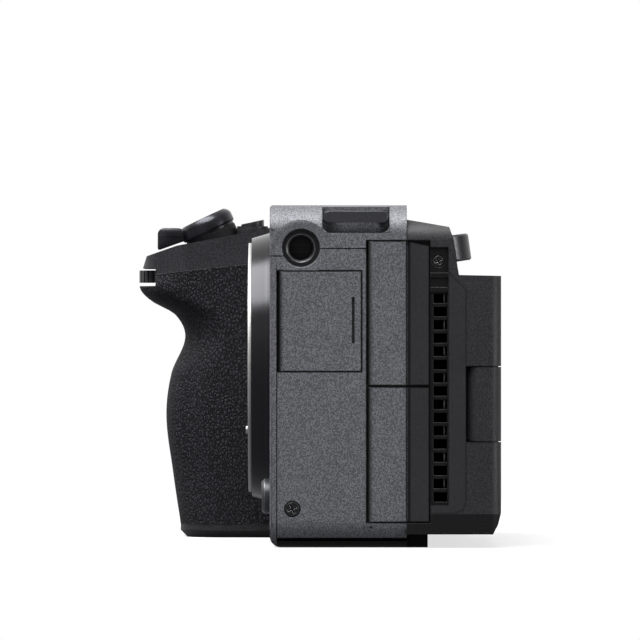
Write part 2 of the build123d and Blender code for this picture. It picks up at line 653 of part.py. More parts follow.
def arc_block(inner_radius, outer_radius, middle, span, y0, y1):
    """A solid between two radii about the lens axis, over a span of degrees about a middle angle."""
    with BuildPart() as piece:
        with BuildSketch(lens_plane(y0)):
            with BuildLine():
                outer = CenterArc((0, 0), outer_radius, middle - span / 2, span)
                inner = CenterArc((0, 0), inner_radius, middle - span / 2, span)
                Line(outer @ 0, inner @ 0)
                Line(outer @ 1, inner @ 1)
            make_face()
        extrude(amount=y0 - y1)
    return piece.part


with BuildPart() as lens_contacts:
    add(arc_block(CONTACT_INNER, CONTACT_OUTER, 90, CONTACT_SPAN, CONTACT_FRONT, SLEEVE_END))
    add(arc_block(CONTACT_INNER, CONTACT_SEAT, 90, CONTACT_SPAN, SLEEVE_END, SLEEVE_END + 3))
keep("lens_contacts", lens_contacts)

# Light baffle, filter glass, sensor and the stabiliser frame that holds them
SENSOR_SIZE = (35.6, 23.8)
FRAME_SIZE = (60.0, 48.0)
FRAME_FRONT = SENSOR_Y - 3.25
BAFFLE_OUTER = SLEEVE_RADIUS - 0.2
BAFFLE_INNER = SLEEVE_RADIUS - 1.2


def lens_rect(width, height, y0, y1, mode=Mode.ADD):
    """A rectangle about the lens axis, as deep as the two places along it."""
    slab((-width / 2, width / 2), (y0, y1), (LENS_Z - height / 2, LENS_Z + height / 2), mode)


with BuildPart() as light_baffle:
    rod_y(0, (SLEEVE_END, FRAME_FRONT - 0.3), LENS_Z, BAFFLE_OUTER)
    rod_y(0, (SLEEVE_END, FRAME_FRONT - 0.3), LENS_Z, BAFFLE_INNER, Mode.SUBTRACT)
keep("light_baffle", light_baffle)

with BuildPart() as stabiliser_frame:
    lens_rect(*FRAME_SIZE, FRAME_FRONT, SENSOR_Y + 1.6)
    lens_rect(SENSOR_SIZE[0] + 1.2, SENSOR_SIZE[1] + 1.2, FRAME_FRONT, SENSOR_Y + 1.6, Mode.SUBTRACT)
    lens_rect(SENSOR_SIZE[0] + 3.6, SENSOR_SIZE[1] + 3.6, FRAME_FRONT + 0.8, SENSOR_Y + 1.6, Mode.SUBTRACT)
    lens_rect(SENSOR_SIZE[0] + 6.6, SENSOR_SIZE[1] + 7.4, SENSOR_Y - 0.9, SENSOR_Y + 1.6, Mode.SUBTRACT)
keep("stabiliser_frame", stabiliser_frame)

with BuildPart() as sensor_filter_glass:
    lens_rect(SENSOR_SIZE[0] + 3.4, SENSOR_SIZE[1] + 3.4, FRAME_FRONT + 0.8, SENSOR_Y - 0.9)
keep("sensor_filter_glass", sensor_filter_glass)

with BuildPart() as image_sensor:
    lens_rect(*SENSOR_SIZE, SENSOR_Y, SENSOR_Y + 0.4)
    lens_rect(SENSOR_SIZE[0] + 6.4, SENSOR_SIZE[1] + 7.2, SENSOR_Y + 0.4, SENSOR_Y + 1.6)
keep("image_sensor", image_sensor)

# Inner chassis: a plate behind the front with posts for the sensor and the board
CHASSIS_THICKNESS = 1.6
CHASSIS_BACK = FRONT_INSIDE + CHASSIS_THICKNESS
SENSOR_POSTS = (FRAME_SIZE[0] / 2 - 3.0, FRAME_SIZE[1] / 2 - 3.0)
BOARD_POSTS = (CHASSIS_HALF - 2.5, (BOARD_HIGH - BOARD_LOW) / 2 - 3.0)
BOARD_MIDDLE = (BOARD_LOW + BOARD_HIGH) / 2
POST = 4.0


def post(x, end, z):
    """A square post from the chassis plate back to what it carries."""
    slab((x - POST / 2, x + POST / 2), (CHASSIS_BACK, end), (z - POST / 2, z + POST / 2))


with BuildPart() as inner_chassis:
    slab((-CHASSIS_HALF, CHASSIS_HALF), (FRONT_INSIDE, CHASSIS_BACK), (BASE_SEAM, COVER_SEAM))
    rod_y(0, (FRONT_INSIDE, CHASSIS_BACK), LENS_Z, SLEEVE_RADIUS + 0.3, Mode.SUBTRACT)
    rod_y(RELEASE_X, (FRONT_INSIDE, CHASSIS_BACK), RELEASE_Z, RELEASE_RADIUS + 1.4, Mode.SUBTRACT)
    rod_y(LOCK_PIN_X, (FRONT_INSIDE, CHASSIS_BACK), LOCK_PIN_Z, LOCK_PIN_RADIUS + 0.4, Mode.SUBTRACT)
    for side in (-1, 1):
        for level in (-1, 1):
            post(side * SENSOR_POSTS[0], FRAME_FRONT, LENS_Z + level * SENSOR_POSTS[1])
            post(side * BOARD_POSTS[0], BOARD_Y, BOARD_MIDDLE + level * BOARD_POSTS[1])
keep("inner_chassis", inner_chassis)

# Main board, heat sink and fan
BOARD_BACK = BOARD_Y + BOARD_THICKNESS
CHIP = 1.2
CHIPS = ((FAN_X, FAN_Z, 17), (FAN_X - 19, FAN_Z + 8, 11), (FAN_X - 19, FAN_Z - 8, 11))
SINK_Y = BOARD_BACK + CHIP
FINS_BACK = SINK_Y + SINK_THICKNESS + FIN_HEIGHT
with BuildPart() as main_board:
    slab((-CHASSIS_HALF, CHASSIS_HALF), (BOARD_Y, BOARD_BACK), (BOARD_LOW, BOARD_HIGH))
    for chip_x, chip_z, size in CHIPS:
        slab((chip_x - size / 2, chip_x + size / 2), (BOARD_BACK, SINK_Y),
             (chip_z - size / 2, chip_z + size / 2))
keep("main_board", main_board)

SINK_SIZE = (46.0, 40.0)
FIN_PITCH = 4.0
FIN = 1.2
FIN_GAPS = int(SINK_SIZE[1] / FIN_PITCH)
with BuildPart() as heat_sink:
    slab((FAN_X - SINK_SIZE[0] / 2, FAN_X + SINK_SIZE[0] / 2), (SINK_Y, SINK_Y + SINK_THICKNESS),
         (FAN_Z - SINK_SIZE[1] / 2, FAN_Z + SINK_SIZE[1] / 2))
    for fin in range(FIN_GAPS + 1):
        fin_z = FAN_Z - (SINK_SIZE[1] - FIN) / 2 + fin * (SINK_SIZE[1] - FIN) / FIN_GAPS
        slab((FAN_X - SINK_SIZE[0] / 2, FAN_X + SINK_SIZE[0] / 2), (SINK_Y + SINK_THICKNESS, FINS_BACK),
             (fin_z - FIN / 2, fin_z + FIN / 2))
keep("heat_sink", heat_sink)

FAN_SHAFT = 1.5
FAN_RIM = 2.5
FAN_RADIUS = SINK_SIZE[1] / 2 - FAN_RIM
FAN_HALF = SINK_SIZE[1] / 2
with BuildPart() as fan_frame:
    slab((FAN_X - FAN_HALF, FAN_X + FAN_HALF), (FINS_BACK, FINS_BACK + FAN_DEPTH),
         (FAN_Z - FAN_HALF, FAN_Z + FAN_HALF))
    rod_y(FAN_X, (FINS_BACK, FINS_BACK + FAN_DEPTH), FAN_Z, FAN_RADIUS + 0.5, Mode.SUBTRACT)
    for across, tall in ((FAN_HALF * 2, 3.0), (3.0, FAN_HALF * 2)):
        slab((FAN_X - across / 2, FAN_X + across / 2), (FINS_BACK, FINS_BACK + 1.2),
             (FAN_Z - tall / 2, FAN_Z + tall / 2))
    rod_y(FAN_X, (FINS_BACK, FINS_BACK + 1.2), FAN_Z, 5.0)
    rod_y(FAN_X, (FINS_BACK + 1.2, FINS_BACK + 4.5), FAN_Z, FAN_SHAFT)
keep("fan_frame", fan_frame)

with BuildPart() as fan_rotor:
    rod_y(FAN_X, (FINS_BACK + 1.8, FINS_BACK + FAN_DEPTH - 0.8), FAN_Z, 7.0)
    for blade in range(FAN_BLADES):
        with BuildPart(mode=Mode.PRIVATE) as vane:
            slab((FAN_X + 6.0, FAN_X + FAN_RADIUS), (FINS_BACK + 2.0, FINS_BACK + FAN_DEPTH - 1.2),
                 (FAN_Z + 2.4, FAN_Z + 3.3))
        turned = vane.part.rotate(Axis((FAN_X, 0, FAN_Z), (0, 1, 0)), 360 / FAN_BLADES * blade)
        add(turned)
    rod_y(FAN_X, (FINS_BACK + 1.8, FINS_BACK + 4.7), FAN_Z, FAN_SHAFT + RUN, Mode.SUBTRACT)
keep("fan_rotor", fan_rotor)

# Hand grip: level sections whose forward reach follows the front curve, from the foot up past the seam
GRIP_FRONT = (
    (33.3, GRIP_FOOT),
    (35.1, 15.4),
    (36.7, 28.7),
    (35.5, SEAM_NOSE_Z - 23.3),
    (32.2, SEAM_NOSE_Z - 14.7),
    (34.6, SEAM_NOSE_Z - 9.3),
    (40.2, SEAM_NOSE_Z - 6.1),
    (43.0, SEAM_NOSE_Z - 3.1),
    (42.4, SEAM_NOSE_Z),
)
GRIP_SECTIONS = (0.0, 0.2, 0.36, 0.46, 0.54, 0.6, 0.66, 0.71, 0.76, 0.81, 0.86, 0.92, 1.0)
with BuildLine() as front_curve:
    Spline(*GRIP_FRONT)


def seam_height(y):
    """Height of the seam between the grip and its top cover, which falls towards the nose."""
    fall = (COVER_SEAM - SEAM_NOSE_Z) / (SKIN_BACK + GRIP_FRONT[-1][0])
    return COVER_SEAM - (SKIN_BACK - y) * fall


def grip_section(z, reach, back, inset=0.0):
    """A level face with the grip's outline: flat sides, a wide palm corner and a tighter finger corner."""
    palm = GRIP_PALM_RADIUS - inset
    finger = GRIP_FINGER_RADIUS - inset
    nose = inset - reach
    right = GRIP_END + inset
    left = GRIP_INNER - inset
    with BuildSketch(Plane.XY.offset(z)) as section:
        with BuildLine():
            Line((right, back), (right, nose + palm))
            RadiusArc((right, nose + palm), (right + palm, nose), -palm)
            Line((right + palm, nose), (left - finger, nose))
            RadiusArc((left - finger, nose), (left, nose + finger), -finger)
            Polyline((left, nose + finger), (left, back), (right, back))
        make_face()
    return section.sketch


def grip_loft(inset, shares):
    """The forward part of the grip up to its seam, drawn in by an inset, at shares of the front curve."""
    above_seam = (
        (SKIN_BACK, COVER_SEAM),
        (-NOSE_REACH - 1, seam_height(-NOSE_REACH - 1)),
        (-NOSE_REACH - 1, COVER_SEAM + 1),
        (SKIN_BACK, COVER_SEAM + 1),
    )
    with BuildPart() as form:
        for share in shares:
            place = front_curve.line @ share
            add(grip_section(place.Y, place.X, SKIN_BACK, inset))
        add(grip_section(COVER_SEAM, GRIP_FRONT[-1][0], SKIN_BACK, inset))
        loft(ruled=True)
        add(side_slab(above_seam, GRIP_END, GRIP_INNER), mode=Mode.SUBTRACT)
    return form.part


def grip_prism(reach, z0, z1):
    """An upright form with the grip's outline in front and the housing's width back to the rear casing."""
    with BuildPart() as form:
        add(grip_section(z0, reach, BLOCK_BACK))
        extrude(amount=z1 - z0)
        slab((GRIP_INNER, BLOCK_RIGHT), (BLOCK_FRONT, BLOCK_BACK), (z0, z1))
    return form.part


outer_grip = grip_loft(0.0, GRIP_SECTIONS)
inner_grip = grip_loft(SKIN, GRIP_SECTIONS[::2])
DIAL_X = GRIP_MID
DIAL_Y = -DIAL_REACH + DIAL_RADIUS
DIAL_POCKET = DIAL_RADIUS + 0.5
DIAL_SHAFT = 1.2


def dial_slot():
    """The slot for the front dial: a round pocket, open across the whole nose in front."""
    with BuildPart() as slot:
        rod_z(DIAL_X, DIAL_Y, (DIAL_SLOT_LOW, DIAL_SLOT_HIGH), DIAL_POCKET)
        slab((DIAL_X - 20, DIAL_X + 20), (DIAL_Y - DIAL_RADIUS - 2, DIAL_Y - 3.6),
             (DIAL_SLOT_LOW, DIAL_SLOT_HIGH))
    return slot.part


with BuildPart() as grip_cover:
    add(outer_grip)
    add(inner_grip, mode=Mode.SUBTRACT)
    slab((GRIP_MID, BLOCK_RIGHT), (BLOCK_FRONT, SKIN_BACK), (0, HEIGHT), Mode.SUBTRACT)
    add(dial_slot(), mode=Mode.SUBTRACT)
keep("grip_cover", grip_cover)

# Grip core: foot, inner form and the housing behind, with the battery and card bays
GRIP_FOOT_CHAMFER = 1.6
BATTERY_OPENING_X = (BATTERY_X[0] - 0.9, BATTERY_X[1] + 1.0)
BATTERY_OPENING_Y = (BATTERY_Y[0] - 0.9, BATTERY_Y[1] + 0.9)
DOOR_LEVEL = BATTERY_DOOR_WALL / 2
BATTERY_HINGE_X = BATTERY_OPENING_X[1] - CLEAR - DOOR_LEVEL
CARD_BAY_Y = (CARD_DOOR[0] + 1.3, CARD_DOOR[1] - 1.3)
CARD_BAY_Z = (CARD_DOOR[2] + 3.0, CARD_DOOR[3] - 3.0)
with BuildPart() as grip_foot:
    add(grip_prism(GRIP_FRONT[0][0], 0, GRIP_FOOT))
    foot_rim = grip_foot.edges().group_by(Axis.Z)[0].filter_by(lambda edge: edge.center().Y < BLOCK_FRONT)
    chamfer(foot_rim.filter_by(lambda edge: edge.length < 2 * GRIP_PALM_RADIUS), GRIP_FOOT_CHAMFER)

with BuildPart() as grip_core:
    add(grip_foot.part)
    add(inner_grip)
    slab((GRIP_END, BLOCK_RIGHT), (SKIN_BACK, BLOCK_BACK), (GRIP_FOOT, COVER_SEAM))
    beside_block = (
        (BLOCK_FRONT, GRIP_FOOT),
        (BLOCK_FRONT, seam_height(BLOCK_FRONT)),
        (SKIN_BACK, COVER_SEAM),
        (SKIN_BACK, GRIP_FOOT),
    )
    add(side_slab(beside_block, GRIP_MID, BLOCK_RIGHT))
    slab(BATTERY_OPENING_X, BATTERY_OPENING_Y, (0, BATTERY_DOOR_WALL + CLEAR), Mode.SUBTRACT)
    slab((BATTERY_X[0] - BAY_GAP, BATTERY_X[1] + BAY_GAP), (BATTERY_Y[0] - BAY_GAP, BATTERY_Y[1] + BAY_GAP),
         (BATTERY_DOOR_WALL, BATTERY_Z[1] + BAY_GAP), Mode.SUBTRACT)
    rod_y(BATTERY_HINGE_X, (BATTERY_OPENING_Y[0] - 1.0, BATTERY_OPENING_Y[1] + 1.0), DOOR_LEVEL,
          PIN_RADIUS + RUN, Mode.SUBTRACT)
    slab((GRIP_END, GRIP_END + DOOR_WALL), (CARD_DOOR[0] - CLEAR, CARD_DOOR[1] + CLEAR),
         (CARD_DOOR[2] - CLEAR, CARD_DOOR[3] + CLEAR), Mode.SUBTRACT)
    rod_z(GRIP_END + HINGE_RADIUS, CARD_DOOR[0] + HINGE_RADIUS,
          (CARD_DOOR[2] - 1.1, CARD_DOOR[3] + 1.1), PIN_RADIUS + RUN, Mode.SUBTRACT)
    slab((GRIP_END, GRIP_END + DOOR_WALL + CARD_BAY_DEPTH + CARD_UNIT_DEPTH), CARD_BAY_Y, CARD_BAY_Z,
         Mode.SUBTRACT)
    rod_x((GRIP_END, GRIP_END + INSERT_DEPTH), RIGHT_THREAD_Y, RIGHT_THREAD_Z, INSERT_RADIUS, Mode.SUBTRACT)
    add(dial_slot(), mode=Mode.SUBTRACT)
    rod_z(DIAL_X, DIAL_Y, (DIAL_SLOT_LOW - 1.2, DIAL_SLOT_LOW), DIAL_SHAFT + RUN, Mode.SUBTRACT)
keep("grip_core", grip_core)

DIAL_RIBS = 32
with BuildPart() as front_dial:
    rod_z(DIAL_X, DIAL_Y, (DIAL_Z - DIAL_THICKNESS / 2, DIAL_Z + DIAL_THICKNESS / 2), DIAL_RADIUS)
    with Locations((DIAL_X, DIAL_Y, DIAL_Z)):
        with PolarLocations(DIAL_RADIUS + 0.15, DIAL_RIBS):
            Box(0.9, 0.5, DIAL_THICKNESS + 1, mode=Mode.SUBTRACT)
    rod_z(DIAL_X, DIAL_Y, (DIAL_SLOT_LOW - 1.1, DIAL_SLOT_HIGH + 1.1), DIAL_SHAFT)
keep("front_dial", front_dial)

# Grip top cover: sloping shell over the grip, with seats for the controls on it
TOP_SIDE = (
    (BLOCK_BACK, COVER_SEAM),
    (SKIN_BACK, COVER_SEAM),
    (-GRIP_FRONT[-1][0], SEAM_NOSE_Z),
    (-NOSE_REACH, SEAM_NOSE_Z + 1.9),
    (0.9 - NOSE_REACH, GRIP_HEIGHT - 7.6),
    (8.3 - NOSE_REACH, GRIP_HEIGHT - 5.1),
    (BLOCK_FRONT - 1.0, GRIP_HEIGHT - 1.0),
    (-7.0, GRIP_HEIGHT),
    (BLOCK_BACK, GRIP_HEIGHT),
)
SHUTTER_X = GRIP_MID
SHUTTER_PLANE = Plane(
    (SHUTTER_X, SHUTTER_Y, SHUTTER_Z),
    x_dir=(1, 0, 0),
    z_dir=(0, -sin(radians(SHUTTER_TILT)), cos(radians(SHUTTER_TILT))),
)
UNIT_TOP = ZOOM_RIM + ZOOM_GAP
UNIT_DEPTH = 9.0
COVER_WALL = 1.8
BUTTON_COLLAR = 1.0


def shutter_disc(radius, top, bottom, mode=Mode.ADD):
    """A disc on the shutter's tilted axis between two depths below its top."""
    with Locations(SHUTTER_PLANE.offset(-(top + bottom) / 2)):
        Cylinder(radius, bottom - top, mode=mode)


with BuildPart() as grip_top_cover:
    add(grip_prism(-TOP_SIDE[2][0], SEAM_NOSE_Z - 2, GRIP_HEIGHT))
    add(side_slab(TOP_SIDE, GRIP_END, BLOCK_RIGHT), mode=Mode.INTERSECT)
    with BuildSketch(Plane.XZ.offset(-BLOCK_BACK)) as round_side:
        with BuildLine():
            Polyline(
                (GRIP_END, 0),
                (BLOCK_RIGHT, 0),
                (BLOCK_RIGHT, GRIP_HEIGHT),
                (GRIP_END, GRIP_HEIGHT),
                close=True,
            )
        make_face()
        fillet(round_side.vertices().group_by(Axis.Y)[-1].sort_by(Axis.X)[0], 5.0)
    extrude(amount=BLOCK_BACK + 60, mode=Mode.INTERSECT)
    for button_x in TOP_BUTTONS.values():
        rod_z(button_x, TOP_BUTTON_Y, (COVER_SEAM + 3, TOP_BUTTON_Z - 1.0),
              TOP_BUTTON_RADIUS + BUTTON_COLLAR)
    slab((GRIP_END + 3.0, GRIP_INNER - 2.0), (BLOCK_FRONT - 8.5, BLOCK_BACK - WALL),
         (SEAM_NOSE_Z, GRIP_HEIGHT - 1.0 - COVER_WALL - 1.6), Mode.SUBTRACT)
    for button_x in TOP_BUTTONS.values():
        rod_z(button_x, TOP_BUTTON_Y, (COVER_SEAM, HEIGHT), TOP_BUTTON_RADIUS + 0.25, Mode.SUBTRACT)
    shutter_disc(ZOOM_RADIUS + 0.4, 0, UNIT_TOP - 0.3, Mode.SUBTRACT)
    shutter_disc(ZOOM_RADIUS + 0.1, UNIT_TOP - 0.4, UNIT_DEPTH, Mode.SUBTRACT)
    rod_z(RECORD_X, RECORD_Y, (COVER_SEAM, HEIGHT), RECORD_RADIUS + 0.3, Mode.SUBTRACT)
    rod_z(POWER_X, POWER_Y, (COVER_SEAM, HEIGHT), 1.5 + RUN, Mode.SUBTRACT)
    slab((GRIP_END, GRIP_END + STRAP_DEPTH), STRAP_ENDS, (RIGHT_STRAP_FLOOR, HEIGHT), Mode.SUBTRACT)
    add(dial_slot(), mode=Mode.SUBTRACT)
    rod_z(DIAL_X, DIAL_Y, (DIAL_SLOT_HIGH, DIAL_SLOT_HIGH + 1.2), DIAL_SHAFT + RUN, Mode.SUBTRACT)
keep("grip_top_cover", grip_top_cover)

# Shutter unit, zoom lever round it and shutter button in it
BOSS_RADIUS = SHUTTER_BUTTON_RADIUS + 0.55
STEM_RADIUS = 1.5
TAB = (
    (SHUTTER_Y - 10.9, SHUTTER_Z - 7.75),
    (SHUTTER_Y - 10.9, SHUTTER_Z - 3.25),
    (SHUTTER_Y - 10.0, SHUTTER_Z - 2.35),
    (SHUTTER_Y - 5.5, SHUTTER_Z - 2.35),
    (SHUTTER_Y - 4.1, SHUTTER_Z - 3.15),
    (SHUTTER_Y - 4.1, SHUTTER_Z - 5.35),
    (SHUTTER_Y - 6.4, SHUTTER_Z - 6.15),
)
TAB_HALF = 2.6
with BuildPart() as shutter_unit:
    shutter_disc(ZOOM_RADIUS, UNIT_TOP, UNIT_DEPTH)
    shutter_disc(BOSS_RADIUS, 0.7, UNIT_TOP)
    shutter_disc(SHUTTER_BUTTON_RADIUS + 0.15, 0, UNIT_TOP, Mode.SUBTRACT)
    shutter_disc(STEM_RADIUS + RUN, UNIT_TOP, UNIT_DEPTH - 1.0, Mode.SUBTRACT)
keep("shutter_unit", shutter_unit)

with BuildPart() as zoom_lever:
    shutter_disc(ZOOM_RADIUS, 0, ZOOM_RIM)
    shutter_disc(ZOOM_RADIUS - 0.5, ZOOM_RIM, UNIT_TOP - 0.3)
    add(side_slab(TAB, SHUTTER_X - TAB_HALF, SHUTTER_X + TAB_HALF))
    shutter_disc(BOSS_RADIUS + RUN, -2, UNIT_TOP, Mode.SUBTRACT)
keep("zoom_lever", zoom_lever)

with BuildPart() as shutter_button:
    shutter_disc(SHUTTER_BUTTON_RADIUS, 0.4, 2.6)
    shutter_disc(STEM_RADIUS, 2.6, UNIT_DEPTH - 2.6)
keep("shutter_button", shutter_button)

# Buttons on the top of the grip
for name, button_x in TOP_BUTTONS.items():
    with BuildPart() as top_button:
        rod_z(button_x, TOP_BUTTON_Y, (TOP_BUTTON_Z - 5.0, TOP_BUTTON_Z + 1.0), TOP_BUTTON_RADIUS)
        tilt = radians(TOP_BUTTON_TILT)
        crown = Plane(
            (button_x, TOP_BUTTON_Y, TOP_BUTTON_Z),
            x_dir=(1, 0, 0),
            z_dir=(0, -sin(tilt), cos(tilt)),
        )
        split(bisect_by=crown, keep=Keep.BOTTOM)
    keep(name, top_button)

with BuildPart() as record_button:
    rod_z(RECORD_X, RECORD_Y, (GRIP_HEIGHT - 3.2, GRIP_HEIGHT + 0.9), RECORD_RADIUS)
    chamfer(record_button.edges().group_by(Axis.Z)[-1], 0.5)
keep("record_button", record_button)

with BuildPart() as power_lever:
    rod_z(POWER_X, POWER_Y, (GRIP_HEIGHT + 0.2, GRIP_HEIGHT + POWER_HEIGHT), POWER_RADIUS)
    slab((POWER_X - 1.6, POWER_X + 1.6), (POWER_Y - POWER_RADIUS - 2.4, POWER_Y),
         (GRIP_HEIGHT + 0.4, GRIP_HEIGHT + POWER_HEIGHT))
    chamfer(power_lever.edges().group_by(Axis.Z)[-1], 0.5)
    rod_z(POWER_X, POWER_Y, (GRIP_HEIGHT - 3.6, GRIP_HEIGHT + 0.2), 1.5)
keep("power_lever", power_lever)

# Battery, its door and latch
with BuildPart() as battery_pack:
    slab(BATTERY_X, BATTERY_Y, BATTERY_Z)
    fillet(battery_pack.edges().filter_by(Axis.Z), 1.5)
keep("battery_pack", battery_pack)

LATCH_X = (BATTERY_OPENING_X[0] + 2.0, BATTERY_OPENING_X[0] + 9.4)
LATCH_Y = (-13.9, -8.9)
LATCH_TRAVEL = 2.0
LATCH_DEPTH = 1.1
BATTERY_DOOR_Y = (BATTERY_OPENING_Y[0] + CLEAR, BATTERY_OPENING_Y[1] - CLEAR)
with BuildPart() as battery_door:
    slab((BATTERY_OPENING_X[0] + CLEAR, BATTERY_HINGE_X), BATTERY_DOOR_Y, (0, BATTERY_DOOR_WALL))
    rod_y(BATTERY_HINGE_X, BATTERY_DOOR_Y, DOOR_LEVEL, DOOR_LEVEL)
    rod_y(BATTERY_HINGE_X, (BATTERY_DOOR_Y[0] - 1.0, BATTERY_DOOR_Y[1] + 1.0), DOOR_LEVEL, PIN_RADIUS)
    slab((LATCH_X[0] - 0.2, LATCH_X[1] + LATCH_TRAVEL + 0.2), (LATCH_Y[0] - 0.1, LATCH_Y[1] + 0.1),
         (0, LATCH_DEPTH), Mode.SUBTRACT)
keep("battery_door", battery_door)

with BuildPart() as battery_latch:
    slab(LATCH_X, LATCH_Y, (0.3, LATCH_DEPTH - 0.05))
    for ridge in range(3):
        ridge_x = LATCH_X[0] + 1.6 + 1.8 * ridge
        slab((ridge_x, ridge_x + 0.7), (LATCH_Y[0] + 0.5, LATCH_Y[1] - 0.5), (0.05, 0.3))
keep("battery_latch", battery_latch)

# Card door and card slots
with BuildPart() as card_door:
    slab((GRIP_END, GRIP_END + DOOR_WALL), (CARD_DOOR[0] + HINGE_RADIUS, CARD_DOOR[1]), CARD_DOOR[2:])
    rod_z(GRIP_END + HINGE_RADIUS, CARD_DOOR[0] + HINGE_RADIUS, CARD_DOOR[2:], HINGE_RADIUS)
    rod_z(GRIP_END + HINGE_RADIUS, CARD_DOOR[0] + HINGE_RADIUS, (CARD_DOOR[2] - 1, CARD_DOOR[3] + 1),
          PIN_RADIUS)
keep("card_door", card_door)

CARD_SLOT = (25.0, 2.8)
CARD_FRONT = GRIP_END + DOOR_WALL + CARD_BAY_DEPTH
CARD_MIDDLE = (CARD_BAY_Z[0] + CARD_BAY_Z[1]) / 2
with BuildPart() as card_slot_unit:
    slab((CARD_FRONT, CARD_FRONT + CARD_UNIT_DEPTH - 0.1), (CARD_BAY_Y[0] + 0.1, CARD_BAY_Y[1] - 0.1),
         (CARD_BAY_Z[0] + 0.1, CARD_BAY_Z[1] - 0.1))
    for slot_y in (CARD_BAY_Y[0] + 4.2, CARD_BAY_Y[1] - 4.2):
        slab((CARD_FRONT, CARD_FRONT + 18), (slot_y - CARD_SLOT[1] / 2, slot_y + CARD_SLOT[1] / 2),
             (CARD_MIDDLE - CARD_SLOT[0] / 2, CARD_MIDDLE + CARD_SLOT[0] / 2), Mode.SUBTRACT)
keep("card_slot_unit", card_slot_unit)

# Rear casing: shoulder, control side, wings beside the screen and chin below it
WING_INNER = SWING_X - WING_RADIUS
POCKET_RADIUS = WING_RADIUS + 0.4
CORNER = 2.8
REAR_SIDE = (
    (BLOCK_BACK, CHIN_BOTTOM),
    (39.2, CHIN_BOTTOM),
    (40.4, 5.3),
    (WING_BACK, 8.0),
    (WING_BACK, SHOULDER_Z),
    (31.5, SHOULDER_Z + 0.2),
    (31.1, SHOULDER_Z + 2.5),
    (30.7, SHOULDER_Z + 5.8),
    (30.1, SHOULDER_Z + 8.8),
    (29.3, GRIP_HEIGHT - 1.7),
    (BLOCK_BACK, GRIP_HEIGHT),
)
REAR_INSIDE = BACK - WALL
HOLLOW_Z = (CHIN_BOTTOM + WALL, SHOULDER_Z - 1.2)
DIAL_BACK_PLANE = Plane(
    (DIAL_BACK_X, DIAL_BACK_REACH - DIAL_BACK_RADIUS, DIAL_BACK_Z),
    x_dir=(1, 0, 0),
    z_dir=(0, -sin(radians(DIAL_BACK_TILT)), cos(radians(DIAL_BACK_TILT))),
)


NECK = (-2.0, 2.6)
WHEEL_FLOOR = CONTROL_BACK - 2.6
BUTTON_FLOOR = CONTROL_BACK - BUTTON_DEPTH - BUTTON_TRAVEL - 0.2
STICK_FLOOR = CONTROL_BACK - 4.0
STICK_WELL = 4.6
STICK_RADIUS = 3.8
HINGE_PIN = 1.2
HINGE_PIN_REACH = 4.0
BUSH_RADIUS = 2.2
BUSH_HEIGHT = 2.4
BUSHES = (
    (BLOCK_LOW - 0.2 - BUSH_HEIGHT, BLOCK_LOW - 0.2),
    (BLOCK_HIGH + 0.2, BLOCK_HIGH + 0.2 + BUSH_HEIGHT),
)
VENT_SCREW_Y = 26.8
VENT_SCREW_Z = VENT_HIGH - 3.1
VENT_SCREW_HEAD = 1.36
GRILLE_FACE = LEFT - 0.4
PLATE_THICKNESS = 0.8
PLATE_SIDE = (
    (VENT_BACK + 0.05, PLATE_HIGH),
    (PLATE_BACK, PLATE_HIGH - (PLATE_BACK - VENT_BACK)),
    (PLATE_BACK, PLATE_LOW + 2.5),
    (PLATE_BACK - 0.75, PLATE_LOW + 0.75),
    (PLATE_BACK - 2.5, PLATE_LOW),
    (VENT_FRONT + 0.1, PLATE_LOW),
    (VENT_FRONT + 0.1, VENT_LOW),
    (VENT_BACK + 0.05, VENT_LOW),
)


def back_dial_disc(radius, half, mode=Mode.ADD):
    """A disc about the rear dial's tilted axis, between plus and minus a half thickness."""
    with Locations(DIAL_BACK_PLANE):
        Cylinder(radius, 2 * half, mode=mode)


def quarter(centre, radius, angle):
    """A place on a circle about a centre, at an angle in degrees."""
    return centre[0] + radius * cos(radians(angle)), centre[1] + radius * sin(radians(angle))


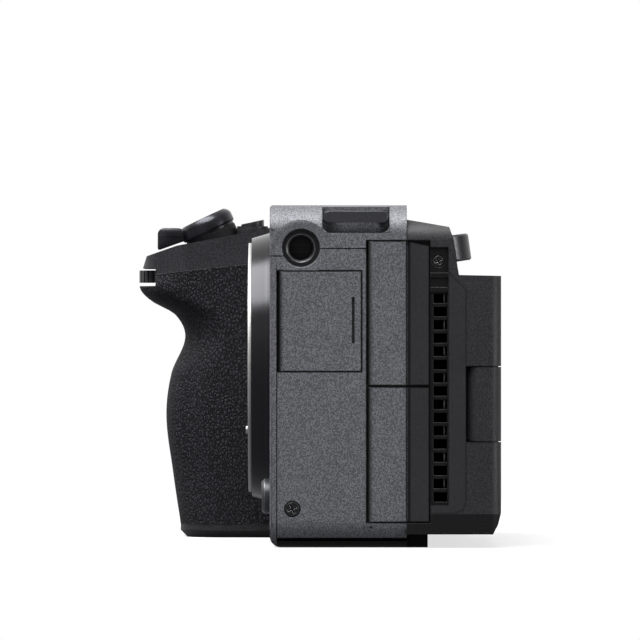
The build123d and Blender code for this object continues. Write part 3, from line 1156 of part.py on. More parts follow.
with BuildPart() as rear_casing:
    with BuildSketch(Plane.XY.offset(CHIN_BOTTOM)) as rear_plan:
        with BuildLine():
            swing = (SWING_X, SWING_Y)
            corner = (LEFT - CORNER, WING_BACK - CORNER)
            ThreePointArc(quarter(swing, WING_RADIUS, 180), quarter(swing, WING_RADIUS, 135),
                          quarter(swing, WING_RADIUS, 90))
            Line(quarter(swing, WING_RADIUS, 90), quarter(corner, CORNER, 90))
            ThreePointArc(quarter(corner, CORNER, 90), quarter(corner, CORNER, 45),
                          quarter(corner, CORNER, 0))
            Polyline(
                quarter(corner, CORNER, 0),
                (LEFT, BLOCK_BACK),
                (GRIP_END, BLOCK_BACK),
                (GRIP_END, CONTROL_BACK),
                (CONTROL_LEFT, CONTROL_BACK),
                (CONTROL_LEFT, BACK),
                (WING_INNER, BACK),
                quarter(swing, WING_RADIUS, 180),
            )
        make_face()
        fillet(rear_plan.vertices().group_by(Axis.X)[0].sort_by(Axis.Y)[-1], CASE_CORNER)
    extrude(amount=HEIGHT)
    slab((CONTROL_LEFT, WING_INNER), (BACK, WING_BACK), (CHIN_BOTTOM, SCREEN_LOW - 0.4))
    add(side_slab(REAR_SIDE, GRIP_END, LEFT), mode=Mode.INTERSECT)
    with BuildSketch(Plane.XZ.offset(-BLOCK_BACK)) as rear_face:
        with BuildLine():
            Polyline((GRIP_END, 0), (LEFT, 0), (LEFT, GRIP_HEIGHT), (GRIP_END, GRIP_HEIGHT), close=True)
        make_face()
        fillet(rear_face.vertices().group_by(Axis.Y)[-1], 5.0)
    extrude(amount=-(WING_BACK - BLOCK_BACK), mode=Mode.INTERSECT)
    slab((GRIP_END + WALL, LEFT - WALL), (BLOCK_BACK, 29.6), HOLLOW_Z, Mode.SUBTRACT)
    slab((GRIP_END + WALL, WING_INNER - 3), (BLOCK_BACK, REAR_INSIDE), HOLLOW_Z, Mode.SUBTRACT)
    slab((CONTROL_LEFT, LEFT - 5), (BLOCK_BACK, 28.2), (CHIN_BOTTOM + WALL, GRIP_HEIGHT - 3.5),
         Mode.SUBTRACT)
    slab((LEFT - DOOR_WALL - DOOR_STOP, LEFT - DOOR_WALL), (BLOCK_BACK, VENT_FRONT + 1),
         (USB_DOOR[2] - DOOR_STOP, HDMI_DOOR[3] + DOOR_STOP))
    slab((LEFT - DOOR_WALL, LEFT), (BLOCK_BACK, HDMI_DOOR[1] + CLEAR),
         (HDMI_DOOR[2] - CLEAR, HDMI_DOOR[3] + CLEAR), Mode.SUBTRACT)
    slab((LEFT - DOOR_WALL, LEFT), (BLOCK_BACK, USB_DOOR[1] + CLEAR),
         (USB_DOOR[2] - CLEAR, USB_DOOR[3] + CLEAR), Mode.SUBTRACT)
    rod_z(SWING_X, SWING_Y, (BLOCK_LOW - 0.2, BLOCK_HIGH + 0.2), POCKET_RADIUS, Mode.SUBTRACT)
    slab((SWING_X, LEFT), (SWING_Y - POCKET_RADIUS, WING_BACK), (BLOCK_LOW - 0.2, BLOCK_HIGH + 0.2),
         Mode.SUBTRACT)
    slab((WING_INNER, SWING_X), (SWING_Y + NECK[0] - 0.5, WING_BACK), (BLOCK_LOW - 0.2, BLOCK_HIGH + 0.2),
         Mode.SUBTRACT)
    slab((LEFT - DOOR_WALL - DOOR_STOP, LEFT), (VENT_FRONT, VENT_BACK), (VENT_LOW, VENT_HIGH), Mode.SUBTRACT)
    add(side_slab(PLATE_SIDE, LEFT - PLATE_THICKNESS, LEFT), mode=Mode.SUBTRACT)
    rod_x((GRILLE_FACE - 4.4, LEFT), VENT_SCREW_Y, VENT_SCREW_Z, SCREW_SHANK + 0.1, Mode.SUBTRACT)
    rod_z(SWING_X, SWING_Y, (BLOCK_LOW - HINGE_PIN_REACH - 0.1, BLOCK_HIGH + HINGE_PIN_REACH + 0.1),
          HINGE_PIN + RUN, Mode.SUBTRACT)
    for bush_low, bush_high in BUSHES:
        rod_z(SWING_X, SWING_Y, (bush_low, bush_high), BUSH_RADIUS, Mode.SUBTRACT)
    back_dial_disc(DIAL_BACK_RADIUS + CLEAR, DIAL_BACK_THICKNESS / 2 + CLEAR, Mode.SUBTRACT)
    back_dial_disc(DIAL_SHAFT + RUN, DIAL_BACK_THICKNESS / 2 + 1.5, Mode.SUBTRACT)
    rod_y(WHEEL_X, (WHEEL_FLOOR, CONTROL_BACK), WHEEL_Z, WHEEL_RADIUS + CLEAR, Mode.SUBTRACT)
    rod_y(WHEEL_X, (WHEEL_FLOOR, CONTROL_BACK - 0.4), WHEEL_Z, WHEEL_BORE - RUN)
    rod_y(WHEEL_X, (BUTTON_FLOOR, CONTROL_BACK), WHEEL_Z, WHEEL_BUTTON_RADIUS + 0.25, Mode.SUBTRACT)
    for control_x, control_z in BACK_BUTTONS.values():
        rod_y(control_x, (BUTTON_FLOOR, CONTROL_BACK), control_z, BACK_BUTTON_RADIUS + CLEAR, Mode.SUBTRACT)
    rod_y(JOYSTICK_X, (STICK_FLOOR, CONTROL_BACK), JOYSTICK_Z, STICK_WELL, Mode.SUBTRACT)
keep("rear_casing", rear_casing)

with BuildPart() as hinge_bushes:
    for bush_low, bush_high in BUSHES:
        rod_z(SWING_X, SWING_Y, (bush_low, bush_high), BUSH_RADIUS)
        rod_z(SWING_X, SWING_Y, (bush_low, bush_high), HINGE_PIN + RUN, Mode.SUBTRACT)
keep("hinge_bushes", hinge_bushes)

# Vent: slatted grille and the plate behind it
SLOT_TOP = PLATE_HIGH - 6.0
LEDGES = (SLOT_TOP + 1.5, SLOT_TOP + 4.8)
LEDGE = 1.0
with BuildPart() as vent_grille:
    slab((GRILLE_FACE - 1.8, GRILLE_FACE), (VENT_FRONT, VENT_BACK), (VENT_LOW, VENT_HIGH))
    slot_height = VENT_BAR_PITCH - VENT_BAR
    for slot in range(VENT_BARS + 1):
        slot_z = SLOT_TOP - slot * VENT_BAR_PITCH
        slab((GRILLE_FACE - 1.8, GRILLE_FACE), (VENT_FRONT + 0.7, VENT_BACK - 0.3),
             (slot_z - slot_height / 2, slot_z + slot_height / 2), Mode.SUBTRACT)
    for ledge in LEDGES:
        slab((GRILLE_FACE, LEFT - 0.1), (VENT_FRONT, VENT_BACK), (ledge, ledge + LEDGE))
    rod_x((GRILLE_FACE - 0.6, GRILLE_FACE), VENT_SCREW_Y, VENT_SCREW_Z, VENT_SCREW_HEAD + 0.1, Mode.SUBTRACT)
    rod_x((GRILLE_FACE - 1.8, GRILLE_FACE), VENT_SCREW_Y, VENT_SCREW_Z, SCREW_SHANK + 0.1, Mode.SUBTRACT)
keep("vent_grille", vent_grille)

with BuildPart() as vent_plate:
    add(side_slab(PLATE_SIDE, LEFT - PLATE_THICKNESS, LEFT))
keep("vent_plate", vent_plate)

# Screen: hinge block with its neck, case and panel
NECK_LOW = BLOCK_LOW + 1.2
NECK_HIGH = BLOCK_HIGH - 1.2
NOTCH_X = 31.0
TILT_Z = 32.6
TILT_RADIUS = 1.5
TILT_SHIFT = 0.2
with BuildPart() as screen_hinge_block:
    with BuildSketch(Plane.XY.offset(BLOCK_LOW)):
        with BuildLine():
            ThreePointArc(quarter(swing, BLOCK_RADIUS, 180), quarter(swing, BLOCK_RADIUS, 270),
                          quarter(swing, BLOCK_RADIUS, 360))
            Line(quarter(swing, BLOCK_RADIUS, 360), (LEFT, WING_BACK - CORNER))
            ThreePointArc(quarter(corner, CORNER, 0), quarter(corner, CORNER, 45),
                          quarter(corner, CORNER, 90))
            Polyline(quarter(corner, CORNER, 90), (SWING_X - BLOCK_RADIUS, WING_BACK),
                     quarter(swing, BLOCK_RADIUS, 180))
        make_face()
    extrude(amount=BLOCK_HIGH - BLOCK_LOW)
    rod_z(SWING_X, SWING_Y, (BLOCK_LOW, BLOCK_HIGH), WING_RADIUS + 0.1, Mode.INTERSECT)
    slab((NOTCH_X + 0.2, SWING_X), (SWING_Y + NECK[0], SWING_Y + NECK[1]), (NECK_LOW, NECK_HIGH))
    rod_z(SWING_X, SWING_Y, (BLOCK_LOW - HINGE_PIN_REACH, BLOCK_HIGH + HINGE_PIN_REACH), HINGE_PIN)
    rod_x((NOTCH_X - 4.0, NOTCH_X + 0.2), SWING_Y + TILT_SHIFT, TILT_Z, TILT_RADIUS)
keep("screen_hinge_block", screen_hinge_block)

PANEL_X_SPAN = (SCREEN_RIGHT + 1.4, NOTCH_X - 1.4)
PANEL_Z_SPAN = (SCREEN_LOW + 2.0, SCREEN_HIGH - 1.6)
CASE_FACE = SCREEN_FACE - 0.3
PANEL_DEPTH = 1.8
with BuildPart() as screen_case:
    slab((SCREEN_RIGHT, SCREEN_LEFT), (SCREEN_BACK, CASE_FACE), (SCREEN_LOW, SCREEN_HIGH))
    fillet(screen_case.edges().filter_by(Axis.Y).group_by(Axis.X)[0], 3.0)
    fillet(screen_case.edges().filter_by(Axis.Y).group_by(Axis.X)[-1], 0.8)
    slab((NOTCH_X, SCREEN_LEFT), (SCREEN_BACK, CASE_FACE), (BLOCK_LOW - 0.2, BLOCK_HIGH + 0.2),
         Mode.SUBTRACT)
    slab(PANEL_X_SPAN, (CASE_FACE - PANEL_DEPTH, CASE_FACE), PANEL_Z_SPAN, Mode.SUBTRACT)
    rod_x((NOTCH_X - 4.0, NOTCH_X), SWING_Y + TILT_SHIFT, TILT_Z, TILT_RADIUS + RUN, Mode.SUBTRACT)
keep("screen_case", screen_case)

with BuildPart() as screen_panel:
    slab((PANEL_X_SPAN[0] + 0.1, PANEL_X_SPAN[1] - 0.1), (CASE_FACE - PANEL_DEPTH, SCREEN_FACE),
         (PANEL_Z_SPAN[0] + 0.1, PANEL_Z_SPAN[1] - 0.1))
    fillet(screen_panel.edges().filter_by(Axis.Y), 1.2)
keep("screen_panel", screen_panel)

# Controls on the back
with BuildPart() as rear_dial:
    back_dial_disc(DIAL_BACK_RADIUS, DIAL_BACK_THICKNESS / 2)
    chamfer(rear_dial.edges().filter_by(GeomType.CIRCLE), 0.4)
    back_dial_disc(DIAL_SHAFT, DIAL_BACK_THICKNESS / 2 + 1.4)
keep("rear_dial", rear_dial)

with BuildPart() as control_wheel:
    rod_y(WHEEL_X, (WHEEL_FLOOR + CLEAR, CONTROL_BACK + 1.0), WHEEL_Z, WHEEL_RADIUS)
    chamfer(control_wheel.edges().group_by(Axis.Y)[-1], 0.6)
    rod_y(WHEEL_X, (WHEEL_FLOOR, CONTROL_BACK + 1.0), WHEEL_Z, WHEEL_BORE, Mode.SUBTRACT)
keep("control_wheel", control_wheel)


def back_button(x, z, radius):
    """A round button of the back, with a softened rim."""
    with BuildPart() as cap:
        rod_y(x, (CONTROL_BACK - BUTTON_DEPTH, CONTROL_BACK + BUTTON_PROUD), z, radius)
        chamfer(cap.edges().group_by(Axis.Y)[-1], 0.4)
    return cap


wheel_button = back_button(WHEEL_X, WHEEL_Z, WHEEL_BUTTON_RADIUS)
keep("wheel_button", wheel_button)
for name, (control_x, control_z) in BACK_BUTTONS.items():
    keep(name, back_button(control_x, control_z, BACK_BUTTON_RADIUS))

with BuildPart() as joystick:
    rod_y(JOYSTICK_X, (STICK_FLOOR + 0.5, CONTROL_BACK + 0.4), JOYSTICK_Z, 1.6)
    rod_y(JOYSTICK_X, (CONTROL_BACK + 0.4, CONTROL_BACK + 2.4), JOYSTICK_Z, STICK_RADIUS)
    chamfer(joystick.edges().group_by(Axis.Y)[-1], 0.8)
keep("joystick", joystick)

# Base plate, tripod bush and case screws
TRIPOD_DEPTH = 5.5
TRIPOD_HEIGHT = 6.5
TRIPOD_FLANGE = 8.0
VENT_SLOTS = 8
BASE_BACK = 24.5
BASE_SCREWS = ((-30.0, -7.0), (30.0, -7.0), (-30.0, 15.0), (32.0, 15.0))
with BuildPart() as base_plate:
    add(block_form.part)
    slab((BLOCK_RIGHT, LEFT), (BLOCK_FRONT, BLOCK_BACK), (0, BASE_SEAM), Mode.INTERSECT)
    slab((BLOCK_RIGHT, LEFT - LOW_LEFT_RADIUS), (BLOCK_BACK, BASE_BACK), (0, CHIN_BOTTOM))
    rod_z(0, 0, (0, BASE_SEAM), TRIPOD_RADIUS, Mode.SUBTRACT)
    for slot in range(VENT_SLOTS):
        slot_x = -24.0 + 3.2 * slot
        slab((slot_x, slot_x + 1.6), (10.0, 17.0), (0, BASE_SEAM), Mode.SUBTRACT)
    for screw_x, screw_y in BASE_SCREWS:
        rod_z(screw_x, screw_y, (0, SCREW_SINK), SCREW_HEAD + 0.1, Mode.SUBTRACT)
        rod_z(screw_x, screw_y, (0, BASE_SEAM), SCREW_SHANK + 0.1, Mode.SUBTRACT)
keep("base_plate", base_plate)

with BuildPart() as tripod_bush:
    rod_z(0, 0, (0, TRIPOD_HEIGHT), TRIPOD_RADIUS)
    rod_z(0, 0, (BASE_SEAM, BASE_SEAM + 1.2), TRIPOD_FLANGE)
    rod_z(0, 0, (0, TRIPOD_DEPTH), THREAD_RADIUS, Mode.SUBTRACT)
keep("tripod_bush", tripod_bush)


def case_screw(plane, head):
    """A flush screw whose head lies just under the plane, with its shank along the plane's far side."""
    with BuildPart() as screw:
        with BuildSketch(plane.offset(-0.1)):
            Circle(head)
        extrude(amount=-0.5)
        with BuildSketch(plane.offset(-0.6)):
            Circle(SCREW_SHANK)
        extrude(amount=-3.6)
    return screw.part


with BuildPart() as case_screws:
    add(case_screw(Plane((LEFT, SIDE_SCREW_Y, SIDE_SCREW_Z), z_dir=(1, 0, 0)), SCREW_HEAD))
    add(case_screw(Plane((GRILLE_FACE, VENT_SCREW_Y, VENT_SCREW_Z), z_dir=(1, 0, 0)), VENT_SCREW_HEAD))
    for screw_x, screw_y in BASE_SCREWS:
        add(case_screw(Plane((screw_x, screw_y, 0), z_dir=(0, 0, -1)), SCREW_HEAD))
keep("case_screws", case_screws)

for label, piece in pieces.items():
    export_step(piece, f"parts/{label}.step")
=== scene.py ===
"""Looks of the cinema camera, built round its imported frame.

The frame gives every rigid piece at its real size. This script dresses those pieces and adds the
fine work that stands on them: cross recesses, thread turns, vent fins, contact pins, the wheel's
ridges, the small forms of the port side, and a smoother grip skin and zoom ring.
Sizes are in millimetres, and become metres where a mesh or shader is made; the studio's are metres.
"""

import logging
import math
from dataclasses import dataclass, replace
from enum import Enum
from typing import Any, Protocol, Sequence

import bmesh
import bpy
from mathutils import Matrix, Vector


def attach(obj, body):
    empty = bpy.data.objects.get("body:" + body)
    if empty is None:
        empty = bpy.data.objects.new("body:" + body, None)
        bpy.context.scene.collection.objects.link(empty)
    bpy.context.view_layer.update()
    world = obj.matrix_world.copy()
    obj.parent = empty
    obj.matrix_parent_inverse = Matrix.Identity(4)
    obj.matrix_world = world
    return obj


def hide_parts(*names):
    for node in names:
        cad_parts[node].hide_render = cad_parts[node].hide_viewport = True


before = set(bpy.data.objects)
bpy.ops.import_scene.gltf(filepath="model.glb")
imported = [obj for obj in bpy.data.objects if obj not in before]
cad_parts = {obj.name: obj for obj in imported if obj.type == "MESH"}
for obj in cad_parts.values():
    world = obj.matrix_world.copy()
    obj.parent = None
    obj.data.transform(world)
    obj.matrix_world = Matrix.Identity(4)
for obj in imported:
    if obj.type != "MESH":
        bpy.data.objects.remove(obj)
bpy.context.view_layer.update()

MM = 0.001
LENS_Z = 40.7
BODY = "camera_body"
SHARP_ANGLE = 32.0  # degrees: an edge that turns by more stays sharp
WELD = 0.0005  # mm: points closer than this are one
LOG = logging.getLogger("camera")

Point = tuple[float, float, float]
Pair = tuple[float, float]
Node = bpy.types.Node
Tree = bpy.types.NodeTree
Piece = bpy.types.Object
Shape = bmesh.types.BMesh
Rim = list[bmesh.types.BMVert]


def linear(hex_colour: str) -> tuple[float, float, float, float]:
    """Turn an sRGB hex colour into linear light.

    Args:
        hex_colour: Six hex digits after a number sign.

    Returns:
        Red, green, blue and an alpha of 1.
    """
    parts = [int(hex_colour[place : place + 2], 16) / 255 for place in (1, 3, 5)]
    light = [part / 12.92 if part <= 0.04045 else ((part + 0.055) / 1.055) ** 2.4 for part in parts]
    return (light[0], light[1], light[2], 1.0)


def add_node(
    tree: Tree,
    kind: str,
    settings: dict[Any, Any] | None = None,
    links: dict[Any, Node | bpy.types.NodeSocket] | None = None,
) -> Node:
    """Add one node with its settings and the links into it.

    Args:
        tree: The tree that gets the node.
        kind: The node's type name.
        settings: Values by input name or place, or by the name of one of the node's own settings.
        links: By the input's name or place, the output that feeds it, or a node whose first live
            output does.

    Returns:
        The new node.
    """
    node = tree.nodes.new(kind)
    values = {}
    for key, value in (settings or {}).items():
        if isinstance(key, str) and hasattr(node, key):
            setattr(node, key, value)
        else:
            values[key] = value
    for key, value in values.items():
        node.inputs[key].default_value = value
    for key, source in (links or {}).items():
        if isinstance(source, bpy.types.Node):
            source = next(output for output in source.outputs if output.enabled)
        tree.links.new(source, node.inputs[key])
    return node


class Pattern(Enum):
    """How a surface was made, which gives the pattern the eye sees on it."""

    MOULDED = "moulded"
    FLECKED = "flecked"
    GRAINED = "grained"
    TURNED = "turned"
    BRUSHED = "brushed"
    CAST = "cast"
    POLISHED = "polished"


# How finely each plain pattern's noise is broken up
DETAIL = {Pattern.FLECKED: 1.0, Pattern.MOULDED: 1.5, Pattern.CAST: 3.0, Pattern.POLISHED: 0.0}
# Between which heights of the pattern the second colour comes in
SECOND_LIMITS = {Pattern.GRAINED: (0.8, 0.1), Pattern.FLECKED: (0.42, 0.62)}
PLAIN_LIMITS = (0.35, 0.65)
# A grain's cells are bent by a coarser noise, this far, and have valleys this wide
BEND_SCALE, BEND_REACH, VALLEY = 0.7, 0.9, 0.32
# Brushing draws the strokes out along X
STROKE = (0.04, 1.0, 1.0)
# Cosine of the turn from true to soft normal, where an edge's painted colour starts and where it is
# full: a pale edge colour is a painted highlight, a dark one painted shade
EDGE_START, EDGE_FULL = 0.997, 0.95
# Painted shade in corners: how near a wall has to be to darken a corner, and between which openness
# the painted shade comes in
PAINTED_SHADE_REACH, PAINTED_SHADE_START, PAINTED_SHADE_FULL, PAINTED_SHADE_SHARE = 1.1, 0.92, 0.35, 0.85
PAINTED_CORNER_SHADE = "#0a0a0b"
# Hands and cloths change the gloss in patches about 11 mm wide, by a little either way
HAND_SCALE, HAND_SPREAD, LEAST_ROUGHNESS = 0.09, 0.05, 0.03
HAND_START, HAND_FULL = 0.3, 0.7


class Surface:
    """What the surface of a piece is: a name, and a shader that is made into a material once."""

    name: str

    def shader(self, tree: Tree) -> Node:
        """Build the surface's nodes in a tree and return the last one."""
        raise NotImplementedError

    def build(self) -> bpy.types.Material:
        """Make the material, or return it if it is made already."""
        material = bpy.data.materials.get(self.name)
        if material is None:
            material = bpy.data.materials.new(self.name)
            material.use_nodes = True
            tree = material.node_tree
            tree.nodes.clear()
            add_node(tree, "ShaderNodeOutputMaterial", {}, {"Surface": self.shader(tree)})
        return material


@dataclass(frozen=True)
class Finish(Surface):
    """One real finish: what it is made of and how its surface was made.

    The second colour is the flecks of a paint; on a grain it is painted shade in the valleys. Edges
    take the edge colour, a painted highlight where it is pale and painted shade where it is dark. A
    hard finish keeps the true normals at its edges, so that a thin gap reads as one.
    """

    name: str
    pattern: Pattern
    colour: str
    second: str
    roughness: float
    size: float = 0.5
    relief: float = 0.01
    share: float = 0.4
    metallic: float = 0.0
    ior: float = 1.5
    coat: float = 0.0
    edge: float = 0.3
    edge_share: float = 0.3
    edge_colour: str = "#b8b8ba"
    gloss: float = 0.5
    stretch: Point = (1.0, 1.0, 1.0)
    hard: bool = False
    centre: Point = (0.0, 0.0, LENS_Z)
    spin: Point = (1.0, 0.0, 1.0)

    def height(self, tree: Tree, place: Node) -> Node:
        """Make the pattern that carries both relief and colour.

        Args:
            tree: The material's tree.
            place: Coordinates in millimetres.

        Returns:
            A value from 0 to 1 over the surface.
        """
        scale = 1 / self.size
        noise, vectors = "ShaderNodeTexNoise", "ShaderNodeVectorMath"
        if self.pattern is Pattern.GRAINED:
            drawn = add_node(tree, vectors, {"operation": "MULTIPLY", 1: self.stretch}, {0: place})
            bend = add_node(
                tree, noise, {"Scale": scale * BEND_SCALE, "Detail": 1.0}, {"Vector": drawn})
            shifted = add_node(
                tree, vectors, {"operation": "MULTIPLY_ADD", 1: (self.size * BEND_REACH,) * 3},
                {0: bend.outputs["Color"], 2: drawn})
            cells = add_node(
                tree, "ShaderNodeTexVoronoi", {"feature": "DISTANCE_TO_EDGE", "Scale": scale},
                {"Vector": shifted})
            return add_node(
                tree, "ShaderNodeMapRange",
                {"interpolation_type": "SMOOTHSTEP", "From Min": 0.0, "From Max": VALLEY},
                {"Value": cells})
        if self.pattern is Pattern.TURNED:
            flat = add_node(tree, vectors, {"operation": "MULTIPLY", 1: self.spin}, {0: place})
            reach = add_node(tree, vectors, {"operation": "LENGTH"}, {0: flat})
            rings = {"noise_dimensions": "1D", "Scale": scale, "Detail": 3.0}
            return add_node(tree, noise, rings, {"W": reach})
        if self.pattern is Pattern.BRUSHED:
            drawn = add_node(tree, vectors, {"operation": "MULTIPLY", 1: STROKE}, {0: place})
            return add_node(tree, noise, {"Scale": scale, "Detail": 2.0}, {"Vector": drawn})
        grains = {"Scale": scale, "Detail": DETAIL[self.pattern]}
        return add_node(tree, noise, grains, {"Vector": place})

    def shader(self, tree: Tree) -> Node:
        """Build the finish: its pattern, its edges with their painted highlight and shade, the
        painted shade in its corners and its gloss.
        """
        coords = add_node(tree, "ShaderNodeTexCoord")
        place = add_node(
            tree, "ShaderNodeMapping",
            {"Scale": (1 / MM,) * 3, "Location": tuple(-part for part in self.centre)},
            {"Vector": coords.outputs["Object"]})
        height = self.height(tree, place)
        # On a grain the second colour fills the valleys as painted shade
        start, full = SECOND_LIMITS.get(self.pattern, PLAIN_LIMITS)
        mask = add_node(
            tree, "ShaderNodeMapRange", {"From Min": start, "From Max": full, "To Max": self.share},
            {"Value": height})
        mixed = add_node(
            tree, "ShaderNodeMix",
            {"data_type": "RGBA", 6: linear(self.colour), 7: linear(self.second)}, {0: mask})
        # Painted edges: where the soft normal turns from the true one, the edge colour is mixed in,
        # pale as a painted highlight and dark as painted shade of a seam
        soft = add_node(tree, "ShaderNodeBevel", {"samples": 4, "Radius": self.edge * MM})
        truth = add_node(tree, "ShaderNodeNewGeometry")
        turn = add_node(
            tree, "ShaderNodeVectorMath", {"operation": "DOT_PRODUCT"},
            {0: soft, 1: truth.outputs["True Normal"]})
        edge = add_node(
            tree, "ShaderNodeMapRange",
            {"From Min": EDGE_START, "From Max": EDGE_FULL, "To Max": self.edge_share},
            {"Value": turn})
        with_painted_edges = add_node(
            tree, "ShaderNodeMix", {"data_type": "RGBA", 7: linear(self.edge_colour)},
            {0: edge, 6: mixed})
        # Painted shade: where a wall stands near, ambient occlusion darkens the colour towards the
        # corner shade
        openness = add_node(
            tree, "ShaderNodeAmbientOcclusion", {"samples": 6, "Distance": PAINTED_SHADE_REACH * MM})
        shade = add_node(
            tree, "ShaderNodeMapRange",
            {"From Min": PAINTED_SHADE_START, "From Max": PAINTED_SHADE_FULL, "To Max": PAINTED_SHADE_SHARE},
            {"Value": openness.outputs["AO"]})
        shaded = add_node(
            tree, "ShaderNodeMix", {"data_type": "RGBA", 7: linear(PAINTED_CORNER_SHADE)},
            {0: shade, 6: with_painted_edges})
        hand = add_node(
            tree, "ShaderNodeTexNoise", {"Scale": HAND_SCALE, "Detail": 3.0}, {"Vector": place})
        sheen = add_node(
            tree, "ShaderNodeMapRange",
            {
                "From Min": HAND_START, "From Max": HAND_FULL,
                "To Min": max(self.roughness - HAND_SPREAD, LEAST_ROUGHNESS),
                "To Max": min(self.roughness + HAND_SPREAD, 1.0)},
            {"Value": hand})
        bump = add_node(
            tree, "ShaderNodeBump", {"Strength": 1.0, "Distance": self.relief * MM},
            {"Height": height} if self.hard else {"Height": height, "Normal": soft})
        return add_node(
            tree, "ShaderNodeBsdfPrincipled",
            {
                "Metallic": self.metallic, "IOR": self.ior, "Specular IOR Level": self.gloss,
                "Coat Weight": self.coat, "Coat Roughness": 0.08},
            {"Base Color": shaded, "Roughness": sheen, "Normal": bump})


@dataclass(frozen=True)
class PartedFinish(Surface):
    """Two finishes on one piece, parted at a box in the object's own millimetres.

    The fade is the width over which the inner finish thins out at the box's high Y end; none gives
    a hard line.
    """

    name: str
    inside: Finish
    outside: Surface
    low: Point
    high: Point
    fade: float = 0.0

    def shader(self, tree: Tree) -> Node:
        """Build both finishes in a tree and mix them by the box."""
        sums = "ShaderNodeMath"
        coords = add_node(tree, "ShaderNodeTexCoord")
        parts = add_node(tree, "ShaderNodeSeparateXYZ", {}, {0: coords.outputs["Object"]})
        mask = None
        for axis, (low, high) in enumerate(zip(self.low, self.high)):
            span = {"operation": "COMPARE", 1: (low + high) / 2 * MM, 2: (high - low) / 2 * MM}
            within = add_node(tree, sums, span, {0: parts.outputs[axis]})
            if mask is None:
                mask = within
            else:
                mask = add_node(tree, sums, {"operation": "MULTIPLY"}, {0: mask, 1: within})
        if self.fade > 0:
            end = self.high[1]
            thinning = add_node(
                tree, "ShaderNodeMapRange",
                {
                    "interpolation_type": "SMOOTHSTEP", "From Min": end * MM,
                    "From Max": (end - self.fade) * MM},
                {"Value": parts.outputs[1]})
            mask = add_node(tree, sums, {"operation": "MULTIPLY"}, {0: mask, 1: thinning})
        both = {0: mask, 1: self.outside.shader(tree), 2: self.inside.shader(tree)}
        return add_node(tree, "ShaderNodeMixShader", {}, both)


@dataclass(frozen=True)
class CoatedGlass(Surface):
    """Optical glass with a thin coating that shows as a faint blue-green and violet tint."""

    name: str = "coated filter glass"
    tints: tuple[str, str] = ("#cfe6e2", "#e4dcf0")

    def shader(self, tree: Tree) -> Node:
        """Build a clear glass with a tint that drifts over it."""
        coords = add_node(tree, "ShaderNodeTexCoord")
        drift = add_node(
            tree, "ShaderNodeTexNoise", {"Scale": 40.0}, {"Vector": coords.outputs["Object"]})
        first, second = self.tints
        tint = add_node(
            tree, "ShaderNodeMix", {"data_type": "RGBA", 6: linear(first), 7: linear(second)},
            {0: drift})
        return add_node(
            tree, "ShaderNodeBsdfPrincipled",
            {"Roughness": 0.03, "IOR": 1.52, "Transmission Weight": 0.95}, {"Base Color": tint})


# In each finish the numbers after the two colours are its roughness, the pattern's size and relief
# in millimetres, the share of the second colour, and how metallic it is. Real flecks and spark
# texture are 0.05 to 0.1 mm across: they are drawn at about 0.3 mm, coarse enough to show.

# Baked paint over magnesium, with metal flakes drawn as pale flecks that stand partly for their
# glint; its edges take painted shade of the seams
BODY_PAINT = Finish(
    "flecked body paint", Pattern.FLECKED, "#46474b", "#818288", 0.5, 0.3, 0.02, 0.6, 0.25,
    edge=0.28, edge_share=0.95, edge_colour="#040405", hard=True)
# The same paint on the thread's low pad, which runs into the wall with no edge of its own
PAD_PAINT = replace(BODY_PAINT, name="flecked pad paint", edge_share=0.0, hard=False)
# Painted shadow: nothing reflects out of the thin seams between the shells, so they are painted
# black against the paint
PAINTED_SEAM_SHADOW = Finish(
    "painted seam shadow", Pattern.MOULDED, "#040405", "#08080a", 0.95, edge_share=0.0, gloss=0.0)
# The same paint, darkened as painted shade, on the shell over the grip, with painted seam shade on
# its edges
SHADED_SHELL_PAINT = Finish(
    "dark shell paint", Pattern.FLECKED, "#1e1e21", "#47474d", 0.45, 0.34, 0.02, 0.4, 0.2,
    edge_share=0.8, edge_colour="#060607", hard=True)
# Glass-filled nylon with a spark-eroded mould texture: dark, with pale specks, and painted seam
# shade on its edges
REAR_RESIN = Finish(
    "spark-textured resin", Pattern.FLECKED, "#1b1b1d", "#39393c", 0.5, 0.32, 0.02, 0.5, edge=0.45,
    edge_share=0.9, edge_colour="#040405", gloss=0.3, hard=True)
# The same nylon from a plain mould: even and a little smoother, with painted seam shade on its
# edges
STRIP_RESIN = Finish(
    "smooth dark resin", Pattern.MOULDED, "#262628", "#2d2d30", 0.42, 0.6, 0.004, 0.6, edge=0.45,
    edge_share=0.9, edge_colour="#040405", gloss=0.25, hard=True)
# Matt moulded ribs: near black, with a painted highlight on their edges
VENT_RESIN = Finish(
    "matt vent resin", Pattern.MOULDED, "#0b0b0c", "#121213", 0.5, 0.5, 0.006, 0.6, edge=0.25,
    edge_share=0.16, edge_colour="#77777a", gloss=0.15)
# Moulded foot of the camera: black, with hardly any gloss
BASE_RESIN = Finish(
    "black base resin", Pattern.MOULDED, "#111112", "#19191b", 0.55, 0.5, 0.008, 0.6,
    edge_share=0.15, edge_colour="#4a4a4d", gloss=0.12)
# Spark-textured shell of the screen, a tone lighter than the rear casing, with painted shade on its
# edges
SCREEN_RESIN = Finish(
    "screen shell resin", Pattern.FLECKED, "#212123", "#3a3a3d", 0.45, 0.3, 0.02, 0.4,
    edge_share=0.4, edge_colour="#101011", gloss=0.4)
# Moulded thermoplastic skin with a leather grain, drawn out upright: dull, with painted shade in
# its valleys
GRIP_RUBBER = Finish(
    "grained grip rubber", Pattern.GRAINED, "#2b2b30", "#060607", 0.66, 0.62, 0.13, 0.9, ior=1.52,
    edge_share=0.1, gloss=0.18, stretch=(1.0, 1.0, 0.6))
